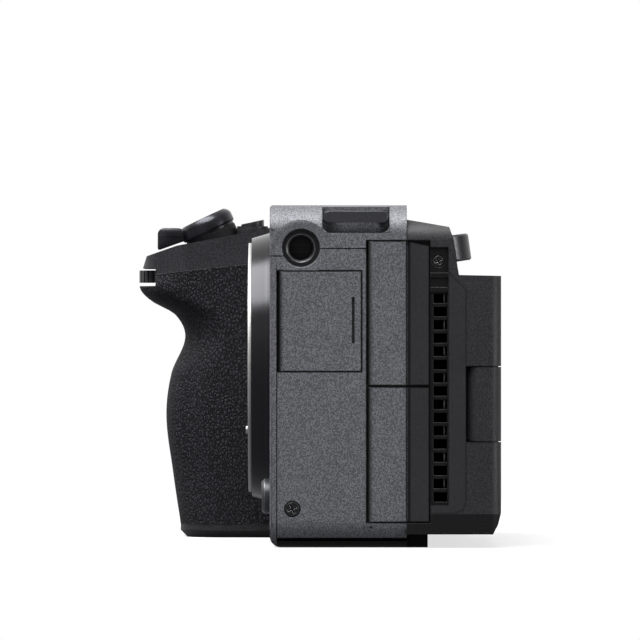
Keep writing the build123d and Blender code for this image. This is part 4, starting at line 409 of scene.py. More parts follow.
# Turned aluminium, anodised black: a soft metal sheen with faint rings
BLACK_ANODISED = Finish(
    "black anodised aluminium", Pattern.TURNED, "#2a2a2c", "#3a3a3d", 0.36, 0.25, 0.004, 0.6, 0.55,
    edge=0.35, edge_share=0.35, edge_colour="#6a6a6e")
# Black anodised as well, brushed round, with a painted highlight on its upper rim
ZOOM_METAL = Finish(
    "brushed zoom ring", Pattern.TURNED, "#2a2a2e", "#444449", 0.3, 0.3, 0.006, 0.5, 0.85,
    edge=0.35, edge_share=0.25, edge_colour="#6a6a70")
# Satin black turning that carries a long bright streak down its taper
COLLAR_METAL = Finish(
    "satin turned aluminium", Pattern.TURNED, "#29292b", "#333335", 0.22, 0.3, 0.004, 0.5, 0.9,
    edge=0.25, edge_share=0.1)
# Bare turned steel: pale and bright, with rings too fine to part
MOUNT_STEEL = Finish(
    "turned stainless steel", Pattern.TURNED, "#bebebc", "#d2d2d0", 0.5, 0.2, 0.002, 0.6, 0.7,
    edge=0.2)
# Chemically blackened screws: dark with a dull glint
BLACK_STEEL = Finish(
    "blackened steel", Pattern.CAST, "#19191a", "#2b2b2d", 0.42, 0.4, 0.006, 0.5, 0.7)
# Cast bar under a dark coat, its edges painted paler: partly wear from the strap, partly a painted
# highlight
STRAP_STEEL = Finish(
    "dark coated strap bar", Pattern.CAST, "#343438", "#404045", 0.38, 0.4, 0.006, 0.5, 0.4,
    edge=0.4, edge_share=0.3, edge_colour="#7c7c80")
# Drawn and brushed steel of shoe, sockets and bush: bright, with fine strokes
PLAIN_STEEL = Finish(
    "plain drawn steel", Pattern.BRUSHED, "#8d8e90", "#a9aaac", 0.3, 0.2, 0.003, 0.5, 1.0)
# Black oxide on cut threads: dark, with crests painted bright, partly wear of the oxide and partly
# a painted highlight
THREAD_STEEL = Finish(
    "black oxide thread steel", Pattern.TURNED, "#29292b", "#353538", 0.38, 0.3, 0.003, 0.5, 0.8,
    edge_share=0.4)
# Moulded keys polished by fingers
BUTTON_RESIN = Finish(
    "semi-gloss button resin", Pattern.MOULDED, "#232325", "#2c2c2f", 0.35, 0.8, 0.003, 0.5,
    edge_colour="#6a6a6e")
# Coated grey key beside the mount, between the paint and the steel in tone
RELEASE_RESIN = Finish(
    "grey release button", Pattern.MOULDED, "#3a3b3e", "#47484b", 0.35, 0.6, 0.004, 0.6, 0.3)
# Red moulded key under a clear coat: the one strong colour
RECORD_RED = Finish(
    "red record button", Pattern.MOULDED, "#b3201c", "#c23430", 0.35, 0.8, 0.004, 0.4, coat=0.3)
# Clear red lens, unlit: deep red with a sharp gloss
LAMP_RED = Finish(
    "red lamp lens", Pattern.POLISHED, "#5e100f", "#7a1a17", 0.12, 1.5, 0.0, 0.5, coat=0.6)
# Flocked baffle that swallows light
FLAT_BLACK = Finish(
    "flat black flocked resin", Pattern.MOULDED, "#0c0c0c", "#151515", 0.85, 0.25, 0.02, 0.5)
# Unpainted casting: grey and slightly mottled
CAST_ALLOY = Finish(
    "cast magnesium alloy", Pattern.CAST, "#5c5d5f", "#6d6e70", 0.5, 1.2, 0.03, 0.5, 0.9)
# Extruded fins: bright, with long strokes
SINK_ALLOY = Finish(
    "extruded aluminium", Pattern.BRUSHED, "#b5b6b8", "#c9cacc", 0.32, 0.2, 0.004, 0.5, 1.0)
# Warm yellow turned metal in the hinge
BUSH_BRASS = Finish(
    "turned bearing brass", Pattern.TURNED, "#b5924c", "#c7a864", 0.3, 0.3, 0.003, 0.5, 1.0)
# Bright yellow and smooth, so that each pin shows as a point of light
GOLD_PLATE = Finish(
    "gold plated contact", Pattern.POLISHED, "#d9a441", "#e6bc62", 0.2, 0.6, 0.0, 0.5, 1.0)
# Green solder mask with paths just seen under its gloss
BOARD_GREEN = Finish(
    "lacquered circuit board", Pattern.CAST, "#12402a", "#1d5a3a", 0.3, 2.2, 0.02, 0.6, coat=0.4)
# Plain dark moulding inside the doors
INNER_RESIN = Finish(
    "plain inner resin", Pattern.MOULDED, "#1b1b1d", "#262628", 0.5, 0.6, 0.006, 0.5)
# Violet to green shimmer of the sensor's coating
SENSOR_FACE = Finish(
    "coated sensor face", Pattern.POLISHED, "#2b2344", "#28443f", 0.1, 9.0, 0.0, 0.9, 0.3, coat=0.8)
# Glossy black print behind the cover glass
SCREEN_BEZEL = Finish(
    "black screen surround", Pattern.POLISHED, "#070708", "#0b0b0d", 0.08, 12.0, 0.0, 0.5, coat=0.6)
# Unlit display: a shade bluer and lighter than its surround
SCREEN_DISPLAY = Finish(
    "unlit liquid crystal display", Pattern.POLISHED, "#15161a", "#1a1c22", 0.1, 14.0, 0.0, 0.5,
    coat=0.6)
# Painted shade: the round hinge barrel of a door turns away from the light into its gap, and this
# dark finish stands for that shade
PAINTED_BARREL_SHADE = Finish(
    "painted hinge barrel shade", Pattern.MOULDED, "#0c0c0d", "#121213", 0.6, 0.5, 0.006, 0.6, gloss=0.1)
# Painted shade: the rear shell takes the black base resin below 7.7 mm, standing for the shade
# along its lower edge
SHADED_CHIN_RESIN = PartedFinish(
    "rear shell with black chin", BASE_RESIN, REAR_RESIN, (-80.0, 19.0, 0.0), (50.0, 45.0, 7.7))
STRIP_DOOR = PartedFinish(
    "door paint with dark strip", STRIP_RESIN, BODY_PAINT, (40.0, 19.95, 0.0), (50.0, 30.0, 80.0))
# The doors take the painted barrel shade along their hinge edge, fading out over the given width
SHADED_DOOR_PAINT = PartedFinish(
    "rear door paint", PAINTED_BARREL_SHADE, STRIP_DOOR, (40.0, 10.0, 0.0), (50.0, 12.3, 80.0), 1.5)
SHADED_MIC_PAINT = PartedFinish(
    "microphone door paint", PAINTED_BARREL_SHADE, BODY_PAINT, (40.0, -10.0, 0.0), (50.0, -8.1, 80.0), 1.2)
PANEL_GLASS = PartedFinish(
    "cover glass of the screen", SCREEN_DISPLAY, SCREEN_BEZEL, (-29.0, 30.0, 12.0),
    (27.0, 50.0, 56.5))
# The front lip of the base carries the body's paint, and the rest is black resin
PAINTED_BASE = PartedFinish(
    "base resin with painted lip", BODY_PAINT, BASE_RESIN, (-60.0, -13.0, -1.0), (60.0, -9.8, 5.0))
# Bands of painted seam shadow where the shells meet on the near side: the cover's stepped seam,
# behind and before the thread, and the front seam up to the microphone door's top
NEAR_SEAMS: tuple[tuple[Point, Point], ...] = (
    ((44.0, -4.9, 67.79), (46.5, 10.8, 68.01)), ((44.0, -12.5, 66.08), (46.5, -4.9, 66.32)),
    ((44.0, -9.89, 1.5), (46.5, -9.71, 62.9)))


def with_painted_seams(paint: Finish) -> Surface:
    """Return a paint with painted shadow in the seams between the shells across the near side."""
    finish: Surface = paint
    for number, (low, high) in enumerate(NEAR_SEAMS, 1):
        finish = PartedFinish(f"{paint.name}, seams {number}", PAINTED_SEAM_SHADOW, finish, low, high)
    return finish


def shade_by_angle() -> Tree:
    """Make the tree that closes a carried piece's facets and keeps only its real edges sharp.

    Returns:
        A tree with a merge distance and an angle as named inputs.
    """
    name = "close and shade"
    known = bpy.data.node_groups.get(name)
    if known is not None:
        return known
    tree = bpy.data.node_groups.new(name, "GeometryNodeTree")
    tree.interface.new_socket("Geometry", in_out="INPUT", socket_type="NodeSocketGeometry")
    merge = tree.interface.new_socket(
        "Merge distance", in_out="INPUT", socket_type="NodeSocketFloat")
    angle = tree.interface.new_socket("Sharp angle", in_out="INPUT", socket_type="NodeSocketFloat")
    tree.interface.new_socket("Geometry", in_out="OUTPUT", socket_type="NodeSocketGeometry")
    merge.default_value = 0.002 * MM
    angle.default_value = math.radians(SHARP_ANGLE)
    source = add_node(tree, "NodeGroupInput").outputs
    joined = add_node(
        tree, "GeometryNodeMergeByDistance", {},
        {"Geometry": source["Geometry"], "Distance": source["Merge distance"]})
    smooth = add_node(tree, "GeometryNodeSetShadeSmooth", {"domain": "FACE"}, {0: joined})
    bend = add_node(tree, "GeometryNodeInputMeshEdgeAngle").outputs["Unsigned Angle"]
    sharp = add_node(
        tree, "FunctionNodeCompare", {"data_type": "FLOAT", "operation": "LESS_THAN"},
        {0: bend, 1: source["Sharp angle"]})
    edges = add_node(
        tree, "GeometryNodeSetShadeSmooth", {"domain": "EDGE"}, {0: smooth, "Shade Smooth": sharp})
    add_node(tree, "NodeGroupOutput", {}, {0: edges})
    return tree


def dress(node: str, finish: Surface) -> None:
    """Give a carried piece its finish and its smooth shading.

    Args:
        node: The piece's name in the frame.
        finish: What its surface is.
    """
    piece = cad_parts[node]
    piece.data.materials.clear()
    piece.data.materials.append(finish.build())
    shading = piece.modifiers.new("close and shade", "NODES")
    shading.node_group = shade_by_angle()


def mesh_object(name: str, shape: Shape, finish: Surface | None = None) -> Piece:
    """Turn a finished shape in metres into an object at the origin.

    Args:
        name: The piece's name.
        shape: The shape, which is freed.
        finish: Its finish, if it has one of its own.

    Returns:
        The linked object.
    """
    mesh = bpy.data.meshes.new(name)
    bmesh.ops.recalc_face_normals(shape, faces=shape.faces)
    shape.to_mesh(mesh)
    shape.free()
    piece = bpy.data.objects.new(name, mesh)
    bpy.context.scene.collection.objects.link(piece)
    if finish is not None:
        mesh.materials.append(finish.build())
    return piece


def carve(blank: Shape, cutters: Sequence[Shape]) -> Shape:
    """Cut shapes out of a blank.

    Args:
        blank: The closed shape that is cut, which is freed.
        cutters: The closed shapes taken out of it, which are freed.

    Returns:
        What is left of the blank.
    """
    piece = mesh_object("blank", blank)
    tools = [mesh_object("cutter", cutter) for cutter in cutters]
    for tool in tools:
        cut = piece.modifiers.new("cut", "BOOLEAN")
        cut.object = tool
        cut.operation = "DIFFERENCE"
        cut.solver = "EXACT"
        cut.use_self = True
    bpy.context.view_layer.update()
    ready = piece.evaluated_get(bpy.context.evaluated_depsgraph_get())
    shape = bmesh.new()
    shape.from_mesh(ready.to_mesh())
    for used in (piece, *tools):
        bpy.data.objects.remove(used)
    return shape


def block(low: Point, high: Point) -> Shape:
    """Make a plain block between two corners in millimetres, as a tool for cuts."""
    shape = bmesh.new()
    size = [(end - start) * MM for start, end in zip(low, high)]
    middle = [(end + start) / 2 * MM for start, end in zip(low, high)]
    place = Matrix.Translation(middle) @ Matrix.Diagonal((*size, 1))
    bmesh.ops.create_cube(shape, size=1.0, matrix=place)
    return shape


def small_bar(size: Point, edge: float) -> Shape:
    """Make a bar about the origin with its edges broken, in millimetres."""
    bar = bmesh.new()
    stretch = Matrix.Diagonal((*(side * MM for side in size), 1))
    bmesh.ops.create_cube(bar, size=1.0, matrix=stretch)
    bmesh.ops.bevel(bar, geom=bar.edges[:], offset=edge * MM, segments=2, affect="EDGES")
    return bar


def join_rims(shape: Shape, first: Rim, second: Rim) -> None:
    """Close the wall between two rims that have the same number of points."""
    for place in range(len(first)):
        after = (place + 1) % len(first)
        shape.faces.new((first[place], first[after], second[after], second[place]))


def round_off(piece: Piece, angle: float = SHARP_ANGLE) -> None:
    """Shade a piece smooth, but for the edges that turn by more than an angle in degrees."""
    piece.data.shade_smooth()
    piece.data.set_sharp_from_angle(angle=math.radians(angle))


def lathe(profile: Sequence[Pair], steps: int) -> Shape:
    """Spin a closed profile of (radius, height) points in millimetres about Z.

    Args:
        profile: The outline, in order.
        steps: How many sectors the turn has.

    Returns:
        A closed shape in metres.
    """
    shape = bmesh.new()
    rings = []
    for step in range(steps):
        turn = 2 * math.pi * step / steps
        cosine, sine = math.cos(turn), math.sin(turn)
        ring = [(reach * MM * cosine, reach * MM * sine, rise * MM) for reach, rise in profile]
        rings.append([shape.verts.new(point) for point in ring])
    for step in range(steps):
        here, there = rings[step], rings[(step + 1) % steps]
        for place in range(len(profile)):
            after = (place + 1) % len(profile)
            shape.faces.new((here[place], there[place], there[after], here[after]))
    bmesh.ops.remove_doubles(shape, verts=shape.verts, dist=WELD * MM)
    bmesh.ops.dissolve_degenerate(shape, edges=shape.edges, dist=WELD * MM)
    return shape


@dataclass
class Seat:
    """Where one repeated piece stands: a place in millimetres and the way its top points."""

    place: Point
    way: Point


def round_the_lens(radius: float, y: float, turns: Sequence[float]) -> list[Seat]:
    """Place seats on a circle about the lens axis, facing forward.

    Args:
        radius: The circle's radius.
        y: The plane in which it lies.
        turns: Each seat's angle in degrees, as seen from the front.

    Returns:
        The seats in order.
    """
    seats = []
    for degrees in turns:
        turn = math.radians(degrees)
        place = (radius * math.cos(turn), y, LENS_Z + radius * math.sin(turn))
        seats.append(Seat(place, (0, -1, 0)))
    return seats


def scatter_tree(finish: Finish) -> Tree:
    """Make the tree that stands one shape on every seat, turned to the seat's way.

    Args:
        finish: What all the copies are made of.

    Returns:
        A tree with the shape and its scale as named inputs.
    """
    tree = bpy.data.node_groups.new(f"repeats in {finish.name}", "GeometryNodeTree")
    tree.interface.new_socket("Geometry", in_out="INPUT", socket_type="NodeSocketGeometry")
    tree.interface.new_socket("Shape", in_out="INPUT", socket_type="NodeSocketObject")
    size = tree.interface.new_socket("Size", in_out="INPUT", socket_type="NodeSocketFloat")
    size.default_value = 1.0
    tree.interface.new_socket("Geometry", in_out="OUTPUT", socket_type="NodeSocketGeometry")
    source = add_node(tree, "NodeGroupInput").outputs
    shape = add_node(
        tree, "GeometryNodeObjectInfo", {"transform_space": "ORIGINAL"}, {0: source["Shape"]})
    turn = add_node(
        tree, "GeometryNodeInputNamedAttribute", {"data_type": "FLOAT_VECTOR", "Name": "turn"})
    stood = add_node(
        tree, "GeometryNodeInstanceOnPoints", {},
        {
            "Points": source["Geometry"], "Instance": shape.outputs["Geometry"],
            "Rotation": turn.outputs["Attribute"], "Scale": source["Size"]})
    real = add_node(tree, "GeometryNodeRealizeInstances", {}, {0: stood})
    dressed = add_node(tree, "GeometryNodeSetMaterial", {"Material": finish.build()}, {0: real})
    add_node(tree, "NodeGroupOutput", {}, {0: dressed})
    return tree


@dataclass
class Repeats:
    """One small shape, repeated on a list of seats by Geometry Nodes."""

    name: str
    body: str
    finish: Finish
    seats: list[Seat]
    slot: str
    nodes: tuple[str, ...] = ()
    spins: Sequence[float] = ()

    def make(self, shape: Shape) -> None:
        """Stand the shape on every seat and keep the result as one plain mesh, riding on its body.

        Args:
            shape: The shape, standing on the origin with its top along Z.
        """
        master = mesh_object(f"{self.name}_master", shape)
        points = bpy.data.meshes.new(f"{self.name}_seats")
        points.from_pydata([[part * MM for part in seat.place] for seat in self.seats], [], [])
        turns = points.attributes.new("turn", "FLOAT_VECTOR", "POINT")
        for index, seat in enumerate(self.seats):
            way = Vector(seat.way).to_track_quat("Z", "Y").to_matrix()
            spin = Matrix.Rotation(self.spins[index] if self.spins else 0.0, 3, "Z")
            turns.data[index].vector = (way @ spin).to_euler()
        carrier = bpy.data.objects.new(f"{self.name}_carrier", points)
        bpy.context.scene.collection.objects.link(carrier)
        tree = scatter_tree(self.finish)
        repeat = carrier.modifiers.new("repeat", "NODES")
        repeat.node_group = tree
        for socket in tree.interface.items_tree:
            if socket.name == "Shape":
                repeat[socket.identifier] = master
        bpy.context.view_layer.update()
        ready = carrier.evaluated_get(bpy.context.evaluated_depsgraph_get())
        mesh = bpy.data.meshes.new_from_object(ready)
        mesh.name = self.name
        bpy.data.objects.remove(carrier)
        bpy.data.objects.remove(master)
        piece = bpy.data.objects.new(self.name, mesh)
        bpy.context.scene.collection.objects.link(piece)
        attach(piece, self.body)
        if self.nodes:
            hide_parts(*self.nodes)


class Work(Protocol):
    """Fine work that stands on the carried pieces of a sub-assembly."""

    def make(self) -> None:
        """Build the work's pieces."""


@dataclass
class CrossScrews:
    """Small screws with a cross recess, let into the casings and the mount ring."""

    head_height: float = 0.6
    sunk: float = 0.1
    recess: float = 0.42
    arm: float = 0.36
    arm_share: float = 0.62
    # The head's rounded rim, as shares of the radius and steps down from the top
    rim: tuple[Pair, ...] = ((1.0, -0.22), (0.94, -0.07), (0.82, 0.0))
    case_radius: float = 1.75
    vent_radius: float = 1.36
    mount_radius: float = 1.65
    case_places: tuple[tuple[Point, Point], ...] = (
        ((46.0, -6.27, 8.9), (1, 0, 0)), ((-30.0, -7.0, 0.0), (0, 0, -1)),
        ((30.0, -7.0, 0.0), (0, 0, -1)), ((-30.0, 15.0, 0.0), (0, 0, -1)),
        ((32.0, 15.0, 0.0), (0, 0, -1)))
    vent_place: Point = (45.6, 26.8, 65.1)
    mount_turns: tuple[float, ...] = (20.0, 110.0, 200.0, 290.0)
    mount_circle: float = 26.75
    flange: float = -16.55

    def head(self, radius: float) -> Shape:
        """Make one head of a radius, its rim rounded and its cross recess cut in."""
        top = -self.sunk
        foot = top - self.head_height
        rim = [(radius * share, top + step) for share, step in self.rim]
        profile = [(0.0, foot), (radius, foot), *rim, (0.0, top)]
        arm = (
            2 * (radius * self.arm_share) * MM, self.arm * radius / self.case_radius * MM,
            2 * self.recess * MM)
        cross = bmesh.new()
        for turn in (0.0, 90.0):
            turned = Matrix.Rotation(math.radians(turn), 4, "Z")
            place = Matrix.Translation((0, 0, top * MM)) @ turned
            bmesh.ops.create_cube(cross, size=1.0, matrix=place @ Matrix.Diagonal((*arm, 1)))
        return carve(lathe(profile, steps=36), [cross])

    def make(self) -> None:
        """Build the case, vent and mount screws, each turned a little its own way."""
        case = [Seat(place, way) for place, way in self.case_places]
        vent = [Seat(self.vent_place, (1, 0, 0))]
        mount = round_the_lens(self.mount_circle, self.flange + self.sunk, self.mount_turns)
        case_spins, mount_spins = (0.4, 0.9, 0.2, 1.3, 0.6), (0.3, 1.1, 0.7, 0.1)
        Repeats(
            "case_screw_heads", BODY, BLACK_STEEL, case, "dark_steel", ("case_screws",), case_spins
        ).make(self.head(self.case_radius))
        Repeats(
            "vent_screw_head", BODY, BLACK_STEEL, vent, "dark_steel", ("case_screws",), (0.5,)
        ).make(self.head(self.vent_radius))
        Repeats(
            "mount_screw_heads", BODY, MOUNT_STEEL, mount, "mount_steel", ("mount_screws",),
            mount_spins
        ).make(self.head(self.mount_radius))


@dataclass
class ThreadTurns:
    """The turns of the quarter-inch threads, as rings at the thread's pitch."""

    pitch: float = 1.27
    bore: float = 3.175
    crest: float = 2.72
    crest_half: float = 0.06
    root_share: float = 0.42
    first: float = 0.65
    last: float = 4.5
    mouths: tuple[tuple[Point, Point], ...] = (
        ((31.0, -1.5, 77.8), (0, 0, 1)), ((-27.0, -1.5, 77.8), (0, 0, 1)),
        ((-27.0, 13.5, 77.8), (0, 0, 1)), ((45.2, -4.33, 68.0), (1, 0, 0)),
        ((-83.7, 9.0, 60.6), (-1, 0, 0)), ((0.0, 0.0, 0.0), (0, 0, -1)))

    def ring(self) -> Shape:
        """Make one thread ridge: a ring with a pointed inner edge."""
        half, tip = self.pitch * self.root_share, self.crest_half
        profile = ((self.bore, -half), (self.bore, half), (self.crest, tip), (self.crest, -tip))
        return lathe(profile, steps=48)

    def make(self) -> None:
        """Build the ridges of all the threads as one piece."""
        seats = []
        for mouth, way in self.mouths:
            turn = self.first
            while turn < self.last:
                place = tuple(mouth[axis] - way[axis] * turn for axis in range(3))
                seats.append(Seat(place, way))
                turn += self.pitch
        Repeats("thread_turns", BODY, THREAD_STEEL, seats, "dark_steel").make(self.ring())


@dataclass
class PortTrim:
    """The dished pad round the port side's thread, and the strap recess's round corners."""

    wall: float = 46.0
    thread: Pair = (-4.33, 68.0)
    pad_radius: float = 6.35
    insert_radius: float = 4.3
    pad_floor: float = 45.21
    # The pad's section as steps out and up, from the insert's radius and then from the pad's
    inner: tuple[Pair, ...] = ((0.0, -0.25), (0.15, -0.12), (0.7, -0.1))
    outer: tuple[Pair, ...] = ((-0.4, 0.008), (0.0, 0.008), (0.0, -0.02), (-0.32, -0.02))
    door_top: float = 62.92
    recess_ends: Pair = (0.54, 15.74)
    recess_floor: float = 71.5
    recess_back: float = 41.5
    recess_inset: float = 0.02
    corner: float = 1.9
    shoulder_radius: float = 7.0
    shoulder_z: float = 70.8
    steps: int = 8

    def pad(self) -> None:
        """Build the low cone from the wall to the thread's insert, ending above the door."""
        profile = [(self.insert_radius, self.pad_floor)]
        profile += [(self.insert_radius + out, self.wall + up) for out, up in self.inner]
        profile += [(self.pad_radius + out, self.wall + up) for out, up in self.outer]
        profile.append((profile[-1][0], self.pad_floor))
        ring = lathe(profile, steps=72)
        place = Matrix.Translation((0.0, self.thread[0] * MM, self.thread[1] * MM))
        laid = place @ Matrix.Rotation(math.pi / 2, 4, "Y")
        bmesh.ops.transform(ring, matrix=laid, verts=ring.verts)
        door = block(
            (self.pad_floor - 1, -15.0, self.door_top - 5), (self.wall + 1, 5.0, self.door_top))
        piece = mesh_object("side_thread_pad", carve(ring, [door]), with_painted_seams(PAD_PAINT))
        round_off(piece)
        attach(piece, BODY)

    def shoulder(self, height: float) -> float:
        """Return how far out the rounded wall stands at a height."""
        rise = max(height - self.shoulder_z, 0.0)
        return self.wall - self.shoulder_radius + math.sqrt(self.shoulder_radius**2 - rise**2)

    def corners(self) -> None:
        """Fill the recess's two lower corners with a hollow quarter round each."""
        shape = bmesh.new()
        for end, side in zip(self.recess_ends, (1.0, -1.0)):
            outline = [(end, self.recess_floor)]
            for step in range(self.steps + 1):
                turn = math.pi / 2 * step / self.steps
                inward, up = self.corner * (1 - math.sin(turn)), self.corner * (1 - math.cos(turn))
                outline.append((end + side * inward, self.recess_floor + up))
            near = [self.shoulder(z) - self.recess_inset for y, z in outline]
            far = [self.recess_back] * len(outline)
            rims = [
                [shape.verts.new((x * MM, y * MM, z * MM)) for x, (y, z) in zip(depths, outline)]
                for depths in (near, far)
            ]
            for rim in rims:
                for place in range(1, len(outline) - 1):
                    shape.faces.new((rim[0], rim[place], rim[place + 1]))
            join_rims(shape, rims[0], rims[1])
        piece = mesh_object("strap_recess_corners", shape, BODY_PAINT)
        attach(piece, BODY)

    def make(self) -> None:
        """Build the pad and the corners."""
        self.pad()
        self.corners()


@dataclass
class VentFins:
    """Thin upright fins of the heat path, seen in every other slot of the vent."""

    top: Point = (43.0, 28.2, 56.6)
    pitch: float = 3.0
    slots: int = 16
    size: Point = (2.4, 0.3, 2.0)
    edge: float = 0.06

    def make(self) -> None:
        """Build the fins as one piece behind the grille."""
        x, y, z = self.top
        seats = [Seat((x, y, z - slot * self.pitch), (0, 0, 1)) for slot in range(0, self.slots, 2)]
        fin = small_bar(self.size, self.edge)
        Repeats("vent_fins", BODY, SINK_ALLOY, seats, "sink_alloy").make(fin)


@dataclass
class ContactPins:
    """Gold contact pins on the arc at the top of the lens throat."""

    count: int = 10
    span: float = 76.0 * 0.86
    radius: float = 21.1
    face: float = -13.0
    dome: tuple[Pair, ...] = (
        (0.0, -0.1), (0.62, -0.1), (0.62, 0.28), (0.5, 0.48), (0.3, 0.58), (0.0, 0.62))

    def make(self) -> None:
        """Build the pins' domed caps as one piece."""
        turns = [90 + self.span * (pin / (self.count - 1) - 0.5) for pin in range(self.count)]
        seats = round_the_lens(self.radius, self.face, turns)
        Repeats("contact_pins", BODY, GOLD_PLATE, seats, "plain_steel").make(lathe(self.dome, 20))


@dataclass
class WheelRidges:
    """Ridges round the rim of the control wheel, which give the finger its hold."""

    centre: Point = (-58.0, 36.4, 34.0)
    axis: Point = (0, 1, 0)
    radius: float = 9.5
    count: int = 60
    size: Point = (0.5, 0.4, 0.9)
    edge: float = 0.1

    def make(self) -> None:
        """Build the ridges as one piece that turns with its wheel."""
        turned = Vector(self.axis).to_track_quat("Z", "Y").to_matrix()
        seats, spins = [], []
        for step in range(self.count):
            turn = 2 * math.pi * step / self.count
            out = turned @ Vector((math.cos(turn), math.sin(turn), 0))
            place = Vector(self.centre) + out * (self.radius - self.size[0] / 2)
            seats.append(Seat(tuple(place), self.axis))
            spins.append(turn)
        ridge = small_bar(self.size, self.edge)
        Repeats(
            "wheel_ridges", "control_wheel", BLACK_ANODISED, seats, "black_anodised", (), spins
        ).make(ridge)


@dataclass
class GripSkin:
    """The grip's moulded skin: level sections that follow the front curve, with a finger flute."""

    front: tuple[Pair, ...] = (
        (33.3, 3.1), (35.1, 15.4), (36.7, 28.7), (35.5, 39.0), (32.2, 47.6), (34.6, 53.0),
        (40.2, 56.2), (43.0, 59.2), (42.4, 62.3))
    sides: Pair = (-83.7, -38.5)
    palm: float = 14.0
    finger: float = 11.0
    skin: float = 1.0
    ends: Pair = (-6.0, -11.4)
    seam_top: float = 66.2
    seam_fall: float = 3.9
    seam_tries: int = 12
    flute: float = 0.6
    flute_turn: float = 58.0
    flute_width: float = 13.0
    flute_rise: Pair = (6.0, 16.0)
    flute_fall: Pair = (30.0, 44.0)
    # Steps along a section: right side, the palm's round, the nose, the finger's round, left side
    steps: tuple[int, ...] = (6, 20, 8, 32, 10)
    rows: int = 64
    dial_centre: Pair = (-61.1, -35.5)
    dial_pocket: float = 8.4
    dial_slot: Pair = (59.8, 64.0)
    slot_mouth: tuple[float, ...] = (20, 12, 3.6)
    sharp_angle: float = 40

    def reach(self, z: float) -> float:
        """Return how far forward the grip reaches at a height, by a smooth curve on the front."""
        points = self.front
        if z >= points[-1][1]:
            return points[-1][0]
        low_end = max(z, points[0][1])
        place = max(index for index in range(len(points) - 1) if points[index][1] <= low_end)
        slopes = []
        for index in (place, place + 1):
            before, after = points[max(index - 1, 0)], points[min(index + 1, len(points) - 1)]
            slopes.append((after[0] - before[0]) / (after[1] - before[1]))
        (start, low), (stop, high) = points[place], points[place + 1]
        span = high - low
        share = (z - low) / span
        rest = 1 - share
        return (
            start * (1 + 2 * share) * rest**2
            + stop * (1 + 2 * rest) * share**2
            + slopes[0] * span * share * rest**2
            - slopes[1] * span * rest * share**2
        )

    def hold(self, z: float) -> float:
        """Return how much of the finger flute there is at a height, from none to all of it."""
        (low, rise), (fall, high) = self.flute_rise, self.flute_fall
        rising = min(max((z - low) / (rise - low), 0.0), 1.0)
        return rising * min(max((high - z) / (high - fall), 0.0), 1.0)

    def outline(self, z: float, inset: float) -> list[Pair]:
        """Return a section's outline at a height, drawn in by an inset, from right to left."""
        nose = inset - self.reach(z)
        right, left = self.sides[0] + inset, self.sides[1] - inset
        palm, finger = self.palm - inset, self.finger - inset
        side, round_right, across, round_left, flank = self.steps
        back, fore = self.ends[0], nose + palm
        points = [(right, back + (fore - back) * step / side) for step in range(side)]
        for step in range(round_right + 1):
            turn = math.pi / 2 * step / round_right
            points.append((right + palm * (1 - math.cos(turn)), nose + palm * (1 - math.sin(turn))))
        length = left - finger - right - palm
        points += [(right + palm + length * step / across, nose) for step in range(1, across)]
        depth = self.flute * self.hold(z)
        for step in range(round_left + 1):
            turn = 90 * step / round_left
            bow = finger - depth * math.exp(-(((turn - self.flute_turn) / self.flute_width) ** 2))
            angle = math.radians(turn)
            points.append(
                (left - finger + bow * math.sin(angle), nose + finger - bow * math.cos(angle)))
        start = nose + finger
        end = self.ends[1]
        points += [(left, start + (end - start) * step / flank) for step in range(1, flank + 1)]
        return points

    def top(self, column: int, inset: float) -> float:
        """Return the height at which a column of the skin meets the seam under the top cover."""
        fall = self.seam_fall / (self.ends[0] + self.front[-1][0])
        height = self.seam_top
        for _ in range(self.seam_tries):
            y = self.outline(height, inset)[column][1]
            height = self.seam_top - max(self.ends[0] - y, 0.0) * fall
        return height

    def wall(self, shape: Shape, inset: float) -> list[Rim]:
        """Add one face of the skin, row by row, and return its points by column."""
        foot = self.front[0][1]
        grid = []
        for column in range(len(self.outline(foot, inset))):
            top = self.top(column, inset)
            line = []
            for row in range(self.rows + 1):
                z = foot + (top - foot) * row / self.rows
                x, y = self.outline(z, inset)[column]
                line.append(shape.verts.new((x * MM, y * MM, z * MM)))
            grid.append(line)
        for here, there in zip(grid, grid[1:]):
            for row in range(self.rows):
                shape.faces.new((here[row], there[row], there[row + 1], here[row + 1]))
        return grid

    def make(self) -> None:
        """Build the skin, close its rims and cut the dial's slot."""
        shape = bmesh.new()
        outer = self.wall(shape, 0.0)
        inner = self.wall(shape, self.skin)
        for column in range(len(outer) - 1):
            face, next_face = outer[column : column + 2]
            lining, next_lining = inner[column : column + 2]
            for row in (0, self.rows):
                shape.faces.new((face[row], next_face[row], next_lining[row], lining[row]))
        for column in (0, -1):
            face, lining = outer[column], inner[column]
            for row in range(self.rows):
                shape.faces.new((face[row], face[row + 1], lining[row + 1], lining[row]))
        low, high = self.dial_slot
        x, y = self.dial_centre
        half, fore, back = self.slot_mouth
        pocket = lathe(((0, low), (self.dial_pocket, low), (self.dial_pocket, high), (0, high)), 64)
        bmesh.ops.translate(pocket, vec=(x * MM, y * MM, 0), verts=pocket.verts)
        mouth = block((x - half, y - fore, low), (x + half, y - back, high))
        piece = mesh_object("grip_skin", carve(shape, [pocket, mouth]), GRIP_RUBBER)
        round_off(piece, self.sharp_angle)
        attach(piece, BODY)
        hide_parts("grip_cover")


